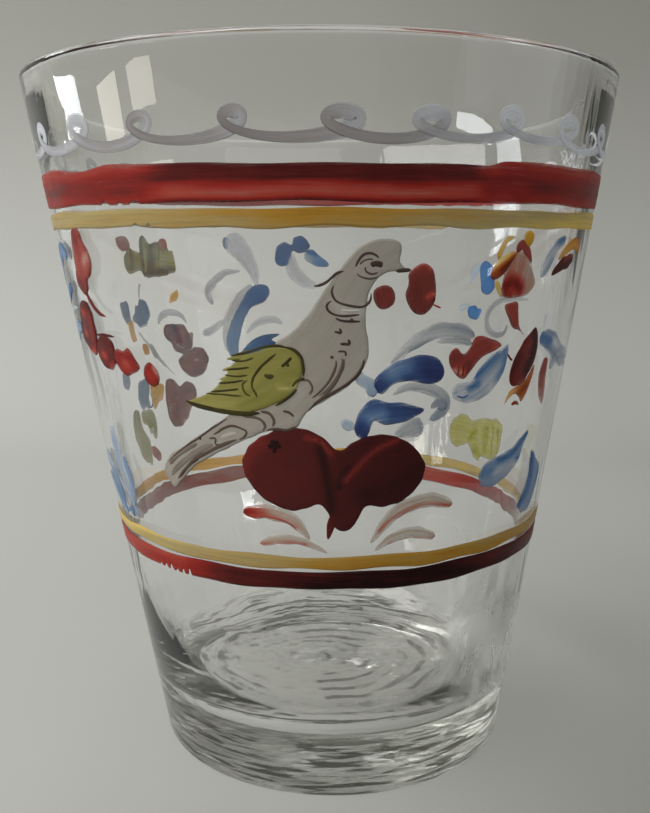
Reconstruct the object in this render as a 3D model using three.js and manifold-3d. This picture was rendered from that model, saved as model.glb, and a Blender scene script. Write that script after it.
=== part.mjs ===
// An enamelled, hand-blown glass tumbler: one thick-based conical glass, and the separate lays
// of coloured enamel paste that were painted on it and fired.
// Millimetres, +Z up. The origin is on the table, under the centre of the rim.
// Angles run round the glass in degrees: 0 is the front (-Y), 90 is the right side (+X).
import * as THREE from 'three';
import { mergeVertices } from 'three/addons/utils/BufferGeometryUtils.js';
import Module from 'manifold-3d';

const wasm = await Module();
wasm.setup();

// The glass
const GLASS_HEIGHT = 92.4;
const RIM_RADIUS = 40;
const BASE_RADIUS = 25; // where the straight outer wall would meet the table
const BASE_SHIFT = 1.9; // the hand-worked wall leans: the base stands this far to the right
const WALL = 1.7;
const LIP_WALL = 2.8;
const LIP_DEPTH = 14; // the wall thickens towards the lip over this length
const LIP_ROUNDING = 0.6; // of both edges of the flat, fire-polished lip
const FOOT_ROUNDING = 1.2;
const FLOOR_HEIGHT = 7.6; // of the cavity, above the table
const FLOOR_RADIUS = 18.5;
const HEEL_HEIGHT = 24; // the inner wall starts to curve in to the floor here
const HEEL_FULLNESS = 1; // how far the solid heel fills the inner corner
const PONTIL_RADIUS = 12; // the rough scar under the base, ground hollow
const PONTIL_DEPTH = 1.6;

// The enamel
const ENAMEL = 0.4; // thickness of one lay
const ENAMEL_GAP = 0.15; // between the glass and a lay, and between a lay and the one painted over it
const BAND_GAP = 0.3; // between painted bands, and between a band and the frieze
const LOWER_RED_HEIGHT = 30.3; // lower edge of the lowest band, above the table
const LOWER_RED_WIDTH = 2.4;
const LOWER_YELLOW_WIDTH = 1.7;
const UPPER_YELLOW_WIDTH = 2;
const UPPER_BAND_SPACE = 0.6; // bare glass between the upper yellow and the upper red
const UPPER_RED_WIDTH = 4.1;
const UPPER_RED_DROP = 12.9; // from the lip down to the upper edge of the highest band
const SCROLL_SPACE = 3.8; // from the upper red band to the middle of the scroll
const SCROLL_LOOPS = 24;
const SCROLL_SWING = 3.7; // how far the scroll swings to each side, along the wall
const SCROLL_RISE = 1.4; // half the height of the scroll
const SCROLL_STROKE = 0.95;

// Fineness of the surfaces
const GLASS_FACETS = 72;
const ARC_STEPS = 6;
const OUTLINE_STEP = 1.4; // between the points of a painted outline
const FACET_LIMIT = 3.4; // widest facet of enamel, measured round the wall
const FRIEZE_ROWS = 37.5; // the motifs are drawn on a grid of this many rows between the bands
const BRUSH_SWELL = 0.7; // under 1, a brush stroke is widest before its middle

const lipHeight = GLASS_HEIGHT - LIP_ROUNDING; // the straight outer wall ends here, at the rim's radius
const lowerYellowHeight = LOWER_RED_HEIGHT + LOWER_RED_WIDTH + BAND_GAP;
const friezeFoot = lowerYellowHeight + LOWER_YELLOW_WIDTH + BAND_GAP;
const upperRedHeight = GLASS_HEIGHT - UPPER_RED_DROP - UPPER_RED_WIDTH;
const upperYellowHeight = upperRedHeight - UPPER_BAND_SPACE - UPPER_YELLOW_WIDTH;
const rowHeight = (upperYellowHeight - BAND_GAP - friezeFoot) / FRIEZE_ROWS;
const scrollHeight = upperRedHeight + UPPER_RED_WIDTH + SCROLL_SPACE;

const FINISH = {
  glass: { color: 0xd9e0dc, roughness: 0.05, metalness: 0, transparent: true, opacity: 0.45 },
  red: { color: 0x8a1a14, roughness: 0.3, metalness: 0 },
  maroon: { color: 0x3d0d0d, roughness: 0.25, metalness: 0 },
  yellow: { color: 0xb5912f, roughness: 0.4, metalness: 0 },
  orange: { color: 0xa85a12, roughness: 0.35, metalness: 0 },
  white: { color: 0xcfd0cf, roughness: 0.4, metalness: 0 },
  grey: { color: 0x9b938c, roughness: 0.45, metalness: 0 },
  blue: { color: 0x22357e, roughness: 0.35, metalness: 0 },
  paleBlue: { color: 0x7f95ad, roughness: 0.4, metalness: 0 },
  olive: { color: 0x7d7b30, roughness: 0.4, metalness: 0 },
  mauve: { color: 0x6c4245, roughness: 0.4, metalness: 0 },
  pink: { color: 0xb07064, roughness: 0.4, metalness: 0 },
};

const tumbler = new THREE.Group();

// Outer radius of the glass wall at a height.
function wallRadius(height) {
  return BASE_RADIUS + ((RIM_RADIUS - BASE_RADIUS) * height) / lipHeight;
}

// Sideways place of the glass's centre at a height.
function centreShift(height) {
  return BASE_SHIFT * (1 - height / GLASS_HEIGHT);
}

// Thickness of the glass wall at a height above the heel.
function wallThickness(height) {
  const towardsLip = (height - (GLASS_HEIGHT - LIP_DEPTH)) / LIP_DEPTH;
  return WALL + (LIP_WALL - WALL) * THREE.MathUtils.clamp(towardsLip, 0, 1);
}

// A point that stands off the outer wall by a distance, at an angle in radians and a height.
function onWall(angle, height, standOff) {
  const radius = wallRadius(height) + standOff;
  return new THREE.Vector3(
    radius * Math.sin(angle) + centreShift(height),
    -radius * Math.cos(angle),
    height,
  );
}

// Distance from the glass to the inner face of a lay of enamel; lay 0 is painted on the glass.
function layStandOff(lay) {
  return ENAMEL_GAP + lay * (ENAMEL + ENAMEL_GAP);
}

function addPiece(name, geometry, finish) {
  geometry.computeVertexNormals();
  const piece = new THREE.Mesh(geometry, new THREE.MeshStandardMaterial(finish));
  piece.name = name;
  tumbler.add(piece);
}

// Moves every vertex of a geometry to the place that a function gives for it.
function moveVertices(geometry, place) {
  const position = geometry.attributes.position;
  const vertex = new THREE.Vector3();
  for (let i = 0; i < position.count; i += 1) {
    const moved = place(vertex.fromBufferAttribute(position, i));
    position.setXYZ(i, moved.x, moved.y, moved.z);
  }
  return geometry;
}

// Leaves only the corners, each once, so that faces share them.
function weld(geometry) {
  geometry.deleteAttribute('normal');
  geometry.deleteAttribute('uv');
  return mergeVertices(geometry, 1e-3);
}

// Turns a profile of radius and height round the leaning centre line.
function turn(profile) {
  const lathe = new THREE.LatheGeometry(profile, GLASS_FACETS);
  lathe.rotateX(Math.PI / 2);
  return moveVertices(weld(lathe), (point) => point.setX(point.x + centreShift(point.z)));
}

// Points on an arc of a circle, from one angle in degrees to another.
function arc(centreX, centreY, radius, from, to) {
  const points = [];
  for (let i = 0; i <= ARC_STEPS; i += 1) {
    const angle = THREE.MathUtils.degToRad(from + ((to - from) * i) / ARC_STEPS);
    points.push(new THREE.Vector2(
      centreX + radius * Math.cos(angle),
      centreY + radius * Math.sin(angle),
    ));
  }
  return points;
}

// The hollow under the base, from the axis out to the flat foot.
function pontilProfile() {
  const points = [];
  for (let i = 0; i <= ARC_STEPS; i += 1) {
    const share = i / ARC_STEPS;
    points.push(new THREE.Vector2(share * PONTIL_RADIUS, PONTIL_DEPTH * (1 - share * share)));
  }
  return points;
}

// The rounded edge from the flat foot up into the outer wall.
function footProfile() {
  const slope = Math.atan2(RIM_RADIUS - BASE_RADIUS, lipHeight);
  const centreRadius = wallRadius(FOOT_ROUNDING) - FOOT_ROUNDING / Math.cos(slope);
  return arc(centreRadius, FOOT_ROUNDING, FOOT_ROUNDING, -90, -THREE.MathUtils.radToDeg(slope));
}

// The lip, rounded at both edges, from the outer wall over to the inner wall.
function lipProfile() {
  const innerEdge = RIM_RADIUS - LIP_WALL + LIP_ROUNDING;
  return [
    ...arc(RIM_RADIUS - LIP_ROUNDING, lipHeight, LIP_ROUNDING, 0, 90),
    ...arc(innerEdge, lipHeight, LIP_ROUNDING, 90, 180),
  ];
}

// The inner wall, from the lip down through the solid heel to the cavity's floor.
function innerProfile() {
  const thickening = GLASS_HEIGHT - LIP_DEPTH;
  const innerRadius = (height) => wallRadius(height) - wallThickness(height);
  const heel = new THREE.QuadraticBezierCurve(
    new THREE.Vector2(innerRadius(HEEL_HEIGHT), HEEL_HEIGHT),
    new THREE.Vector2(innerRadius(FLOOR_HEIGHT) - HEEL_FULLNESS + WALL / 2, FLOOR_HEIGHT),
    new THREE.Vector2(FLOOR_RADIUS, FLOOR_HEIGHT),
  );
  return [
    new THREE.Vector2(innerRadius(thickening), thickening),
    ...heel.getPoints(ARC_STEPS),
    new THREE.Vector2(0, FLOOR_HEIGHT),
  ];
}

function makeGlass() {
  const profile = [...pontilProfile(), ...footProfile(), ...lipProfile(), ...innerProfile()];
  addPiece('glass_body', turn(profile), FINISH.glass);
}

// A painted band: a thin ring that follows the wall.
function makeBand(name, height, width, finish) {
  const inner = layStandOff(0);
  const corner = (at, standOff) => new THREE.Vector2(wallRadius(at) + standOff, at);
  const top = height + width;
  const profile = [
    corner(height, inner),
    corner(height, inner + ENAMEL),
    corner(top, inner + ENAMEL),
    corner(top, inner),
    corner(height, inner),
  ];
  addPiece(name, turn(profile), finish);
}

// The outline of a brush stroke along a spine: widest near its start, drawn out to a tip.
function strokeOutline(spine, width) {
  const curve = new THREE.SplineCurve(spine);
  const steps = Math.max(ARC_STEPS, Math.ceil(curve.getLength() / OUTLINE_STEP));
  const oneSide = [];
  const otherSide = [];
  for (let i = 0; i <= steps; i += 1) {
    const share = i / steps;
    const point = curve.getPoint(share);
    const along = curve.getTangent(share);
    const across = new THREE.Vector2(-along.y, along.x);
    const half = (width / 2) * Math.sqrt(Math.max(0, Math.sin(Math.PI * share ** BRUSH_SWELL)));
    oneSide.push(point.clone().addScaledVector(across, -half));
    if (half > 1e-6 && i < steps) {
      otherSide.unshift(point.clone().addScaledVector(across, half));
    }
  }
  return [...oneSide, ...otherSide];
}

// A smooth closed outline through a few points.
function blobOutline(corners) {
  const loop = new THREE.CatmullRomCurve3(
    corners.map((corner) => new THREE.Vector3(corner.x, corner.y, 0)),
    true,
    'centripetal',
  );
  const count = Math.max(2 * ARC_STEPS, Math.ceil(loop.getLength() / OUTLINE_STEP));
  const points = loop.getSpacedPoints(count).slice(0, -1);
  return points.map((point) => new THREE.Vector2(point.x, point.y));
}

// A flat sheet of paint, one unit thick.
function flatSheet(outline) {
  const options = { depth: 1, bevelEnabled: false, steps: 1 };
  return weld(new THREE.ExtrudeGeometry(new THREE.Shape(outline), options));
}

function toManifold(geometry) {
  return new wasm.Manifold(new wasm.Mesh({
    numProp: 3,
    vertProperties: new Float32Array(geometry.attributes.position.array),
    triVerts: new Uint32Array(geometry.index.array),
  }));
}

function fromManifold(solid) {
  const mesh = solid.getMesh();
  const geometry = new THREE.BufferGeometry();
  geometry.setAttribute('position', new THREE.BufferAttribute(mesh.vertProperties, mesh.numProp));
  geometry.setIndex(new THREE.BufferAttribute(mesh.triVerts, 1));
  return geometry;
}

// Joins flat sheets that overlap into one.
function joinSheets(sheets) {
  const solids = sheets.map(toManifold);
  return fromManifold(solids.reduce((whole, solid) => whole.add(solid)));
}

// Splits a triangle at the middles of its sides, where it has them.
function splitTriangle(corners, middles) {
  const count = middles.filter((middle) => middle !== undefined).length;
  if (count === 0) {
    return [corners];
  }
  if (count === 3) {
    const [a, b, c] = corners;
    const [ab, bc, ca] = middles;
    return [[a, ab, ca], [ab, b, bc], [ca, bc, c], [ab, bc, ca]];
  }
  let first = middles.findIndex((middle) => middle !== undefined);
  if (count === 2 && first === 0 && middles[2] !== undefined) {
    first = 2;
  }
  const [a, b, c] = [0, 1, 2].map((i) => corners[(first + i) % 3]);
  const [ab, bc] = [0, 1].map((i) => middles[(first + i) % 3]);
  if (count === 1) {
    return [[a, ab, c], [ab, b, c]];
  }
  return [[ab, b, bc], [a, ab, c], [ab, bc, c]];
}

// Halves every edge that runs too far round the wall, on both triangles that share it.
function splitWideEdges(geometry) {
  const points = [];
  const position = geometry.attributes.position;
  for (let i = 0; i < position.count; i += 1) {
    points.push(new THREE.Vector3().fromBufferAttribute(position, i));
  }
  const index = Array.from(geometry.index.array);
  let triangles = [];
  for (let i = 0; i < index.length; i += 3) {
    triangles.push(index.slice(i, i + 3));
  }
  let tooWide = true;
  while (tooWide) {
    const middles = new Map();
    const middleOf = (a, b) => {
      if (Math.abs(points[a].x - points[b].x) <= FACET_LIMIT) {
        return undefined;
      }
      const key = `${Math.min(a, b)} ${Math.max(a, b)}`;
      if (!middles.has(key)) {
        middles.set(key, points.length);
        points.push(new THREE.Vector3().lerpVectors(points[a], points[b], 0.5));
      }
      return middles.get(key);
    };
    triangles = triangles.flatMap(([a, b, c]) => (
      splitTriangle([a, b, c], [middleOf(a, b), middleOf(b, c), middleOf(c, a)])
    ));
    tooWide = middles.size > 0;
  }
  const split = new THREE.BufferGeometry().setFromPoints(points);
  split.setIndex(triangles.flat());
  return split;
}

// Lays a motif on the wall. Its marks are drawn with points of an angle and a row of the frieze,
// as smooth closed blobs or as brush strokes as wide as so many rows, and marks of one motif are joined.
function makeMotif(name, finish, marks, lay = 0) {
  const angles = marks.flatMap((mark) => (mark.blob ?? mark.stroke).map(([angle]) => angle));
  const middle = (Math.min(...angles) + Math.max(...angles)) / 2;
  const flatten = ([angle, row]) => {
    const height = friezeFoot + row * rowHeight;
    const turned = THREE.MathUtils.degToRad(angle - middle);
    return new THREE.Vector2(turned * wallRadius(height), height);
  };
  const sheets = marks.map(({ blob, stroke, width }) => flatSheet(
    blob ? blobOutline(blob.map(flatten)) : strokeOutline(stroke.map(flatten), width * rowHeight),
  ));
  const sheet = sheets.length > 1 ? joinSheets(sheets) : sheets[0];
  const inner = layStandOff(lay);
  const bent = moveVertices(splitWideEdges(sheet), ({ x, y, z }) => (
    onWall(THREE.MathUtils.degToRad(middle) + x / wallRadius(y), y, inner + z * ENAMEL)
  ));
  addPiece(name, bent, finish);
}

// One half of a loop of the scroll, as a flat sheet on a ring round the origin.
function scrollHalf(loop, side) {
  const ringRadius = wallRadius(scrollHeight);
  const pitch = (2 * Math.PI) / SCROLL_LOOPS;
  const advance = (pitch * ringRadius) / (2 * Math.PI);
  const overlap = 0.12;
  const steps = 5;
  const left = [];
  const right = [];
  for (let i = 0; i <= steps; i += 1) {
    const phase = side * (-overlap + ((Math.PI + 2 * overlap) * i) / steps);
    const along = advance * phase - SCROLL_SWING * Math.sin(phase);
    const rise = SCROLL_RISE * Math.cos(phase);
    const tangent = new THREE.Vector2(
      advance - SCROLL_SWING * Math.cos(phase),
      -SCROLL_RISE * Math.sin(phase),
    ).normalize();
    const half = SCROLL_STROKE / 2;
    for (const [edge, sign] of [[left, -1], [right, 1]]) {
      const x = along - sign * half * tangent.y;
      const angle = loop * pitch + x / ringRadius;
      const radius = ringRadius + rise + sign * half * tangent.x;
      edge.push(new THREE.Vector2(radius * Math.sin(angle), radius * Math.cos(angle)));
    }
  }
  return flatSheet([...left, ...right.reverse()]);
}

// The white scroll under the lip: one line of paint that swags and loops all the way round.
// It is joined as a flat ring, then stood up on the wall.
function makeScroll() {
  const ringRadius = wallRadius(scrollHeight);
  const halves = [];
  for (let loop = 0; loop < SCROLL_LOOPS; loop += 1) {
    halves.push(scrollHalf(loop, 1), scrollHalf(loop, -1));
  }
  const standing = moveVertices(joinSheets(halves), ({ x, y, z }) => (
    onWall(
      Math.atan2(x, y),
      scrollHeight + Math.hypot(x, y) - ringRadius,
      layStandOff(0) + z * ENAMEL,
    )
  ));
  addPiece('white_scroll', standing, FINISH.white);
}

// The heart that the bird stands on, and the four leaves under it.
function makeHeart() {
  makeMotif('heart', FINISH.maroon, [
    {
      blob: [
        [2.5, 13], [6, 14.2], [10.5, 14.8], [15, 14.2], [18.5, 12.7], [20.7, 10.5], [19.5, 8.3],
        [16, 6.5], [12, 5.9], [8, 6], [6.5, 4.6], [4.5, 3.1], [1.6, 3.3], [0, 5.3], [-1.5, 6.3],
        [-7, 5.5], [-11, 6.1], [-14.5, 7.4], [-17.5, 10.6], [-16, 13], [-12.5, 14.6], [-8, 15.6],
        [-4, 15.5], [-1, 14.7],
      ],
    },
    { stroke: [[1.4, 5.2], [0.6, 3.8], [-0.1, 1.9]], width: 0.9 },
  ]);
  makeMotif('heart_leaf_upper_left', FINISH.red, [
    { stroke: [[-18.5, 4.9], [-13, 4.8], [-7.5, 4], [-4, 1.9]], width: 1.6 },
  ]);
  makeMotif('heart_leaf_lower_left', FINISH.pink, [
    { stroke: [[-15.3, 1.2], [-10, 1.7], [-5, 1.4], [-0.3, 0.4]], width: 1 },
  ]);
  makeMotif('heart_leaf_upper_right', FINISH.grey, [
    { stroke: [[28.3, 5.3], [22, 5.9], [14.5, 4.6], [9.2, 1.5]], width: 1.6 },
  ]);
  makeMotif('heart_leaf_lower_right', FINISH.pink, [
    { stroke: [[24.6, 1.4], [19, 2.1], [14, 1.6], [10.8, 0.4]], width: 1.2 },
  ]);
}

// The bird, its wing over it, and the berries at its beak.
function makeBird() {
  makeMotif('bird_body', FINISH.grey, [
    {
      blob: [
        [14.2, 33.4], [13.2, 34.2], [13.2, 36.2], [10, 36.6], [6.5, 35.8], [3, 33.5], [-1.5, 29.6],
        [-5, 27], [-9, 25.2], [-13, 22], [-15, 18.8], [-19, 17], [-26, 15], [-34, 11.6], [-38.2, 8.6],
        [-35, 7.4], [-30.5, 10.2], [-23, 13], [-17.5, 15], [-13, 16], [-7, 16.6], [-3, 18], [2, 19.8],
        [6, 21.6], [8.1, 24.4], [7.4, 28], [8.2, 31.3], [10.5, 32.9],
      ],
    },
  ]);
  makeMotif('bird_wing', FINISH.olive, [
    {
      blob: [
        [-4, 22.8], [-5.2, 24.4], [-8.5, 25], [-13, 24.3], [-18.4, 22.4], [-22.5, 19.7], [-28.4, 18],
        [-23, 17.3], [-15, 17.3], [-9.5, 18.4], [-5.4, 20.2],
      ],
    },
  ], 1);
  makeMotif('berry_small', FINISH.red, [
    { blob: [[10.6, 31.7], [8.7, 30.4], [10.6, 29.1], [12.6, 30.4]] },
  ]);
  makeMotif('berry_large', FINISH.red, [
    {
      blob: [
        [15.1, 33], [17.5, 34], [19.9, 32.7], [20.1, 30.4], [18.2, 28.4], [15.8, 28.9], [14.7, 30.6],
      ],
    },
  ]);
}

// The spray to the right of the bird.
function makeRightSpray() {
  makeMotif('blue_feather_upper', FINISH.blue, [
    {
      blob: [
        [9.2, 20.4], [11.5, 22.2], [15, 23.5], [19, 23.9], [22.5, 23], [23.2, 21.6], [21.5, 20.6],
        [16, 21], [12.5, 20.4], [10.3, 19.7],
      ],
    },
  ]);
  makeMotif('blue_feather_lower', FINISH.blue, [
    {
      blob: [
        [5.4, 16], [7.6, 18.6], [11.5, 18.9], [17, 18.3], [19.8, 17.6], [16.5, 16.6], [11, 16],
        [8, 14.9], [6, 15],
      ],
    },
  ]);
  makeMotif('grey_feather_upper', FINISH.grey, [
    { stroke: [[29.6, 25.4], [23.5, 26.6], [17, 25.4], [12.2, 23.1]], width: 1.5 },
  ]);
  makeMotif('grey_feather_middle', FINISH.grey, [
    { stroke: [[21.3, 16.4], [24, 18.2], [20, 19.7], [13.6, 19.5]], width: 1 },
  ]);
  makeMotif('grey_feather_lower', FINISH.grey, [
    { blob: [[14, 15], [16.4, 16], [19.3, 16.5], [19.6, 15.3], [17.8, 14.9]] },
  ]);
  makeMotif('red_flower', FINISH.red, [
    {
      blob: [
        [24.1, 23.8], [27.4, 23.4], [29.5, 25], [32, 25.4], [36.4, 24.5], [31.5, 22.9], [29, 21],
        [26.5, 21], [24.3, 22.2],
      ],
    },
  ]);
  makeMotif('slate_leaf', FINISH.paleBlue, [
    {
      blob: [
        [38.3, 24.6], [35.5, 23.6], [32.4, 22.4], [30, 20.4], [26.6, 20], [25.8, 18.8], [30, 18],
        [35, 19], [37.9, 21.4],
      ],
    },
  ]);
  makeMotif('tulip', FINISH.pink, [
    { blob: [[35, 30.3], [34.8, 32.6], [37.5, 35.2], [41.2, 34.4], [43.5, 31.8], [41.5, 30.2]] },
  ]);
  makeMotif('tulip_left_petal', FINISH.orange, [
    { blob: [[31.3, 32.5], [33, 34.9], [37.2, 35.1], [35.6, 33.6], [33.4, 32.2]] },
    { stroke: [[33.5, 34.2], [34, 36], [36.2, 36.9]], width: 0.9 },
  ], 1);
  makeMotif('tulip_right_petal', FINISH.yellow, [
    { stroke: [[39.9, 37.3], [39.7, 36.4], [38.8, 34.9]], width: 1.3 },
  ], 1);
  makeMotif('tulip_tip', FINISH.red, [
    { blob: [[36, 28.7], [39.3, 28.8], [40.6, 27.2], [42.8, 25.4], [39, 26.5], [37, 27.6]] },
  ]);
  makeMotif('tulip_curl', FINISH.grey, [
    {
      stroke: [[37.4, 26.6], [35.4, 25.8], [32.6, 26.4], [31.9, 28.2], [34, 29.4], [38, 29.5]],
      width: 0.55,
    },
  ]);
  makeMotif('maroon_leaf', FINISH.maroon, [
    { blob: [[46.6, 26.2], [43, 24.4], [40.2, 21.8], [41.6, 19.2], [45, 19.6], [48.2, 21.8], [48.2, 24]] },
  ]);
  makeMotif('maroon_leaf_tail', FINISH.orange, [
    { stroke: [[48.9, 20.6], [47.6, 18.6], [44.4, 17.9], [39.8, 16.6]], width: 1.3 },
  ]);
  makeMotif('pale_leaf_high', FINISH.paleBlue, [
    { stroke: [[52.4, 35.8], [50.2, 35.9], [47.2, 34.9], [46, 32.8]], width: 2 },
  ]);
  makeMotif('orange_leaf', FINISH.orange, [
    { stroke: [[62, 34.9], [57.5, 34.7], [53, 33.4], [49, 31.8]], width: 2.1 },
  ]);
  makeMotif('blue_leaf_right', FINISH.paleBlue, [
    { stroke: [[49, 24.9], [55, 23.6], [62, 21.4], [70, 20.4]], width: 2.6 },
  ]);
  makeMotif('mauve_petal_right', FINISH.mauve, [
    { stroke: [[53.4, 21.2], [53.4, 19], [56, 16.4]], width: 2.3 },
  ]);
  makeMotif('blue_leaf_low_right', FINISH.paleBlue, [
    {
      blob: [
        [34.7, 8.4], [37.5, 9.8], [43, 11], [50.6, 12.8], [48.4, 9.6], [44, 7.6], [38, 6.5],
      ],
    },
  ]);
  makeMotif('blue_leaf_far_right', FINISH.paleBlue, [
    { blob: [[54.2, 10], [58.5, 8], [61.6, 4.4], [58, 1.5], [52, 2.8], [54.4, 6]] },
  ]);
}

// The spray to the left of the bird.
function makeLeftSpray() {
  makeMotif('dull_red_leaf', FINISH.mauve, [
    {
      blob: [
        [-54, 37], [-57.5, 35.4], [-58.6, 31.6], [-56.4, 29.8], [-53.4, 30.4], [-49.4, 34.2], [-51.6, 36.2],
      ],
    },
    { stroke: [[-55.4, 30.8], [-52.6, 28.4], [-48.3, 27.4]], width: 0.7 },
  ]);
  makeMotif('red_berries', FINISH.red, [
    { blob: [[-58.5, 29.1], [-63.2, 25.6], [-59, 22.2], [-54.4, 25.4]] },
    { blob: [[-51.4, 25], [-55.8, 22.8], [-51.4, 20.6], [-47, 22.9]] },
    { blob: [[-43.6, 23.8], [-47.6, 22], [-44, 20.3], [-40.2, 21.6]] },
    { stroke: [[-60, 24.4], [-52, 22.9], [-42, 21.9]], width: 1.6 },
  ]);
  makeMotif('red_berry_end', FINISH.red, [
    { blob: [[-37, 22.4], [-39.3, 21], [-36.8, 19.5], [-34.5, 21]] },
  ]);
  makeMotif('blue_leaf_left', FINISH.paleBlue, [
    { stroke: [[-62.4, 34.2], [-67, 34.6], [-72, 33], [-77, 29]], width: 2.6 },
  ]);
  makeMotif('blue_leaf_low_left', FINISH.paleBlue, [
    { stroke: [[-57.5, 13.2], [-57.5, 9.6], [-55.4, 5.6], [-52, 1]], width: 3.2 },
  ]);
  makeMotif('blue_leaf_far_left', FINISH.paleBlue, [
    { stroke: [[-69, 8], [-66, 7.2], [-62.4, 4.4], [-59.6, 0.9]], width: 3 },
  ]);
}

// The motifs on the back of the glass.
function makeBackSprays() {
  makeMotif('olive_leaf_high', FINISH.olive, [
    {
      blob: [
        [226.4, 32.4], [227.6, 35.2], [232, 36.4], [236, 37.2], [239.2, 35], [244, 34.6],
        [246.3, 33.2], [244, 31.2], [238.5, 30.6], [229.5, 30.6],
      ],
    },
  ]);
  makeMotif('olive_leaf_high_stem', FINISH.grey, [
    { stroke: [[240.4, 29.6], [241.8, 27.4], [242.4, 25.4]], width: 0.6 },
  ]);
  makeMotif('red_dot_left', FINISH.red, [
    { blob: [[244.9, 37.2], [242, 35.6], [245, 34.8], [248, 36.2]] },
  ], 1);
  makeMotif('red_dot_right', FINISH.red, [
    { blob: [[230, 36.6], [227.9, 35.7], [230, 34.8], [232.1, 35.7]] },
  ], 1);
  makeMotif('olive_leaf_low', FINISH.olive, [
    {
      blob: [
        [113, 6], [116, 7.8], [121, 7.5], [127, 6.9], [131, 7.7], [135.4, 5.4], [134.4, 3], [131, 1.8],
        [126.5, 2.4], [122.5, 0.6], [119.5, 1.8], [114, 3.6],
      ],
    },
  ]);
  makeMotif('mauve_flower', FINISH.mauve, [
    { blob: [[224.7, 20.6], [228, 22.4], [235, 21.2], [234, 18.6], [231.4, 18], [227, 18.9]] },
  ]);
  makeMotif('mauve_flower_cap', FINISH.white, [
    { stroke: [[235.6, 23.2], [231.6, 24.4], [227.4, 24.2], [224.6, 22.6]], width: 1 },
  ]);
  makeMotif('mauve_berry', FINISH.mauve, [
    { blob: [[219, 17], [222.4, 18.3], [229, 16.9], [227.5, 14.4], [223.5, 13.8], [220, 14.8]] },
  ]);
  makeMotif('mauve_leaf', FINISH.mauve, [
    {
      blob: [
        [224.6, 11.6], [227.5, 13.1], [232, 12.6], [235, 13.7], [238, 10.6], [237.6, 7], [233.5, 5.8],
        [228, 8],
      ],
    },
  ]);
  makeMotif('blue_s_leaf', FINISH.blue, [
    { stroke: [[198.4, 26.8], [203.5, 24], [208.4, 20], [209.6, 16.2]], width: 2.3 },
  ]);
  makeMotif('blue_short_leaf', FINISH.blue, [
    { stroke: [[195.4, 19.8], [200, 19], [204, 18], [207, 16.6]], width: 1.8 },
  ]);
  makeMotif('white_short_leaf', FINISH.white, [
    { stroke: [[194, 21.6], [198.5, 22], [203, 20.8], [205.6, 19.2]], width: 0.9 },
  ]);
  makeMotif('white_curl_leaf', FINISH.white, [
    { stroke: [[206, 35.2], [203.4, 36], [201.4, 33.4], [200.6, 29]], width: 1.8 },
  ]);
  makeMotif('white_hook_leaf', FINISH.white, [
    { stroke: [[190.6, 34.4], [191.6, 31.6], [188.6, 29.6], [183, 29]], width: 1.9 },
  ]);
  makeMotif('blue_hook_leaf', FINISH.blue, [
    { stroke: [[194, 32.4], [193.6, 35.3], [188, 36.5], [181, 33.6]], width: 1.6 },
  ]);
  makeMotif('blue_dab_high', FINISH.blue, [
    { stroke: [[131, 28.7], [132.4, 31.2], [136, 32.4]], width: 1.6 },
  ]);
  makeMotif('blue_dab_low', FINISH.blue, [
    { stroke: [[136.6, 25], [134, 24.8], [132, 25.8]], width: 1.2 },
  ]);
  makeMotif('blue_dab_left', FINISH.blue, [
    { stroke: [[238.4, 25.6], [240.6, 24.2], [244.6, 24]], width: 1.6 },
  ]);
  makeMotif('yellow_dab', FINISH.yellow, [
    { stroke: [[241, 12.8], [239.4, 10.6], [242, 9]], width: 1 },
  ]);
}

makeGlass();
makeBand('lower_red_band', LOWER_RED_HEIGHT, LOWER_RED_WIDTH, FINISH.red);
makeBand('lower_yellow_band', lowerYellowHeight, LOWER_YELLOW_WIDTH, FINISH.yellow);
makeBand('upper_yellow_band', upperYellowHeight, UPPER_YELLOW_WIDTH, FINISH.yellow);
makeBand('upper_red_band', upperRedHeight, UPPER_RED_WIDTH, FINISH.red);
makeScroll();
makeHeart();
makeBird();
makeRightSpray();
makeLeftSpray();
makeBackSprays();

export default tumbler;
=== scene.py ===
# %% [markdown]
# # An enamelled tumbler of blown glass
#
# The object is one hand-blown glass, with a bird on a heart, flower sprays, four bands and a
# looped scroll painted on its outside in glass enamel and fired. Its solids are already packed
# at real size. This lesson dresses them: the clear glass is turned from a profile, and every
# lay of enamel becomes a thin raised pad that follows the leaning wall.

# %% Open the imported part
import math
import random
from functools import partial

import bpy
import numpy as np
from mathutils.geometry import delaunay_2d_cdt
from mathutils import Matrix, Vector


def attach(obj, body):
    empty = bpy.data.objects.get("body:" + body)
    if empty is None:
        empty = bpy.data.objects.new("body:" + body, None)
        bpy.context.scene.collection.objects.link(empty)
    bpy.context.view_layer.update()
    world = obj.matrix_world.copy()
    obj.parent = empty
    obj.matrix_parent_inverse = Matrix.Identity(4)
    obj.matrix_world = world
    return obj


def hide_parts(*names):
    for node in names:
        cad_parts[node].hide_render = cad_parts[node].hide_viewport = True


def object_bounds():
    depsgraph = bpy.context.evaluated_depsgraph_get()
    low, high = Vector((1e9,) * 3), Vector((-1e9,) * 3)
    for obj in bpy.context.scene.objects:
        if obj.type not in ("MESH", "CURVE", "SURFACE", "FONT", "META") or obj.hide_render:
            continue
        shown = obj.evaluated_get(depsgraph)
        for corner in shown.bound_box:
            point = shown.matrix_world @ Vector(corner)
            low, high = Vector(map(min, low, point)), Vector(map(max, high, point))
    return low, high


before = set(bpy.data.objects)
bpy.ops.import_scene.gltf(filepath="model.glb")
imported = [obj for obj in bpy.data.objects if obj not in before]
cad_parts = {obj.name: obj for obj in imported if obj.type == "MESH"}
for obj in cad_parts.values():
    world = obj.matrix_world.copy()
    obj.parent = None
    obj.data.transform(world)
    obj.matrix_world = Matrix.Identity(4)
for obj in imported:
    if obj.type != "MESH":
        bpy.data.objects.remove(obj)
cad_low, cad_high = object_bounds()
MM = 0.001
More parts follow.
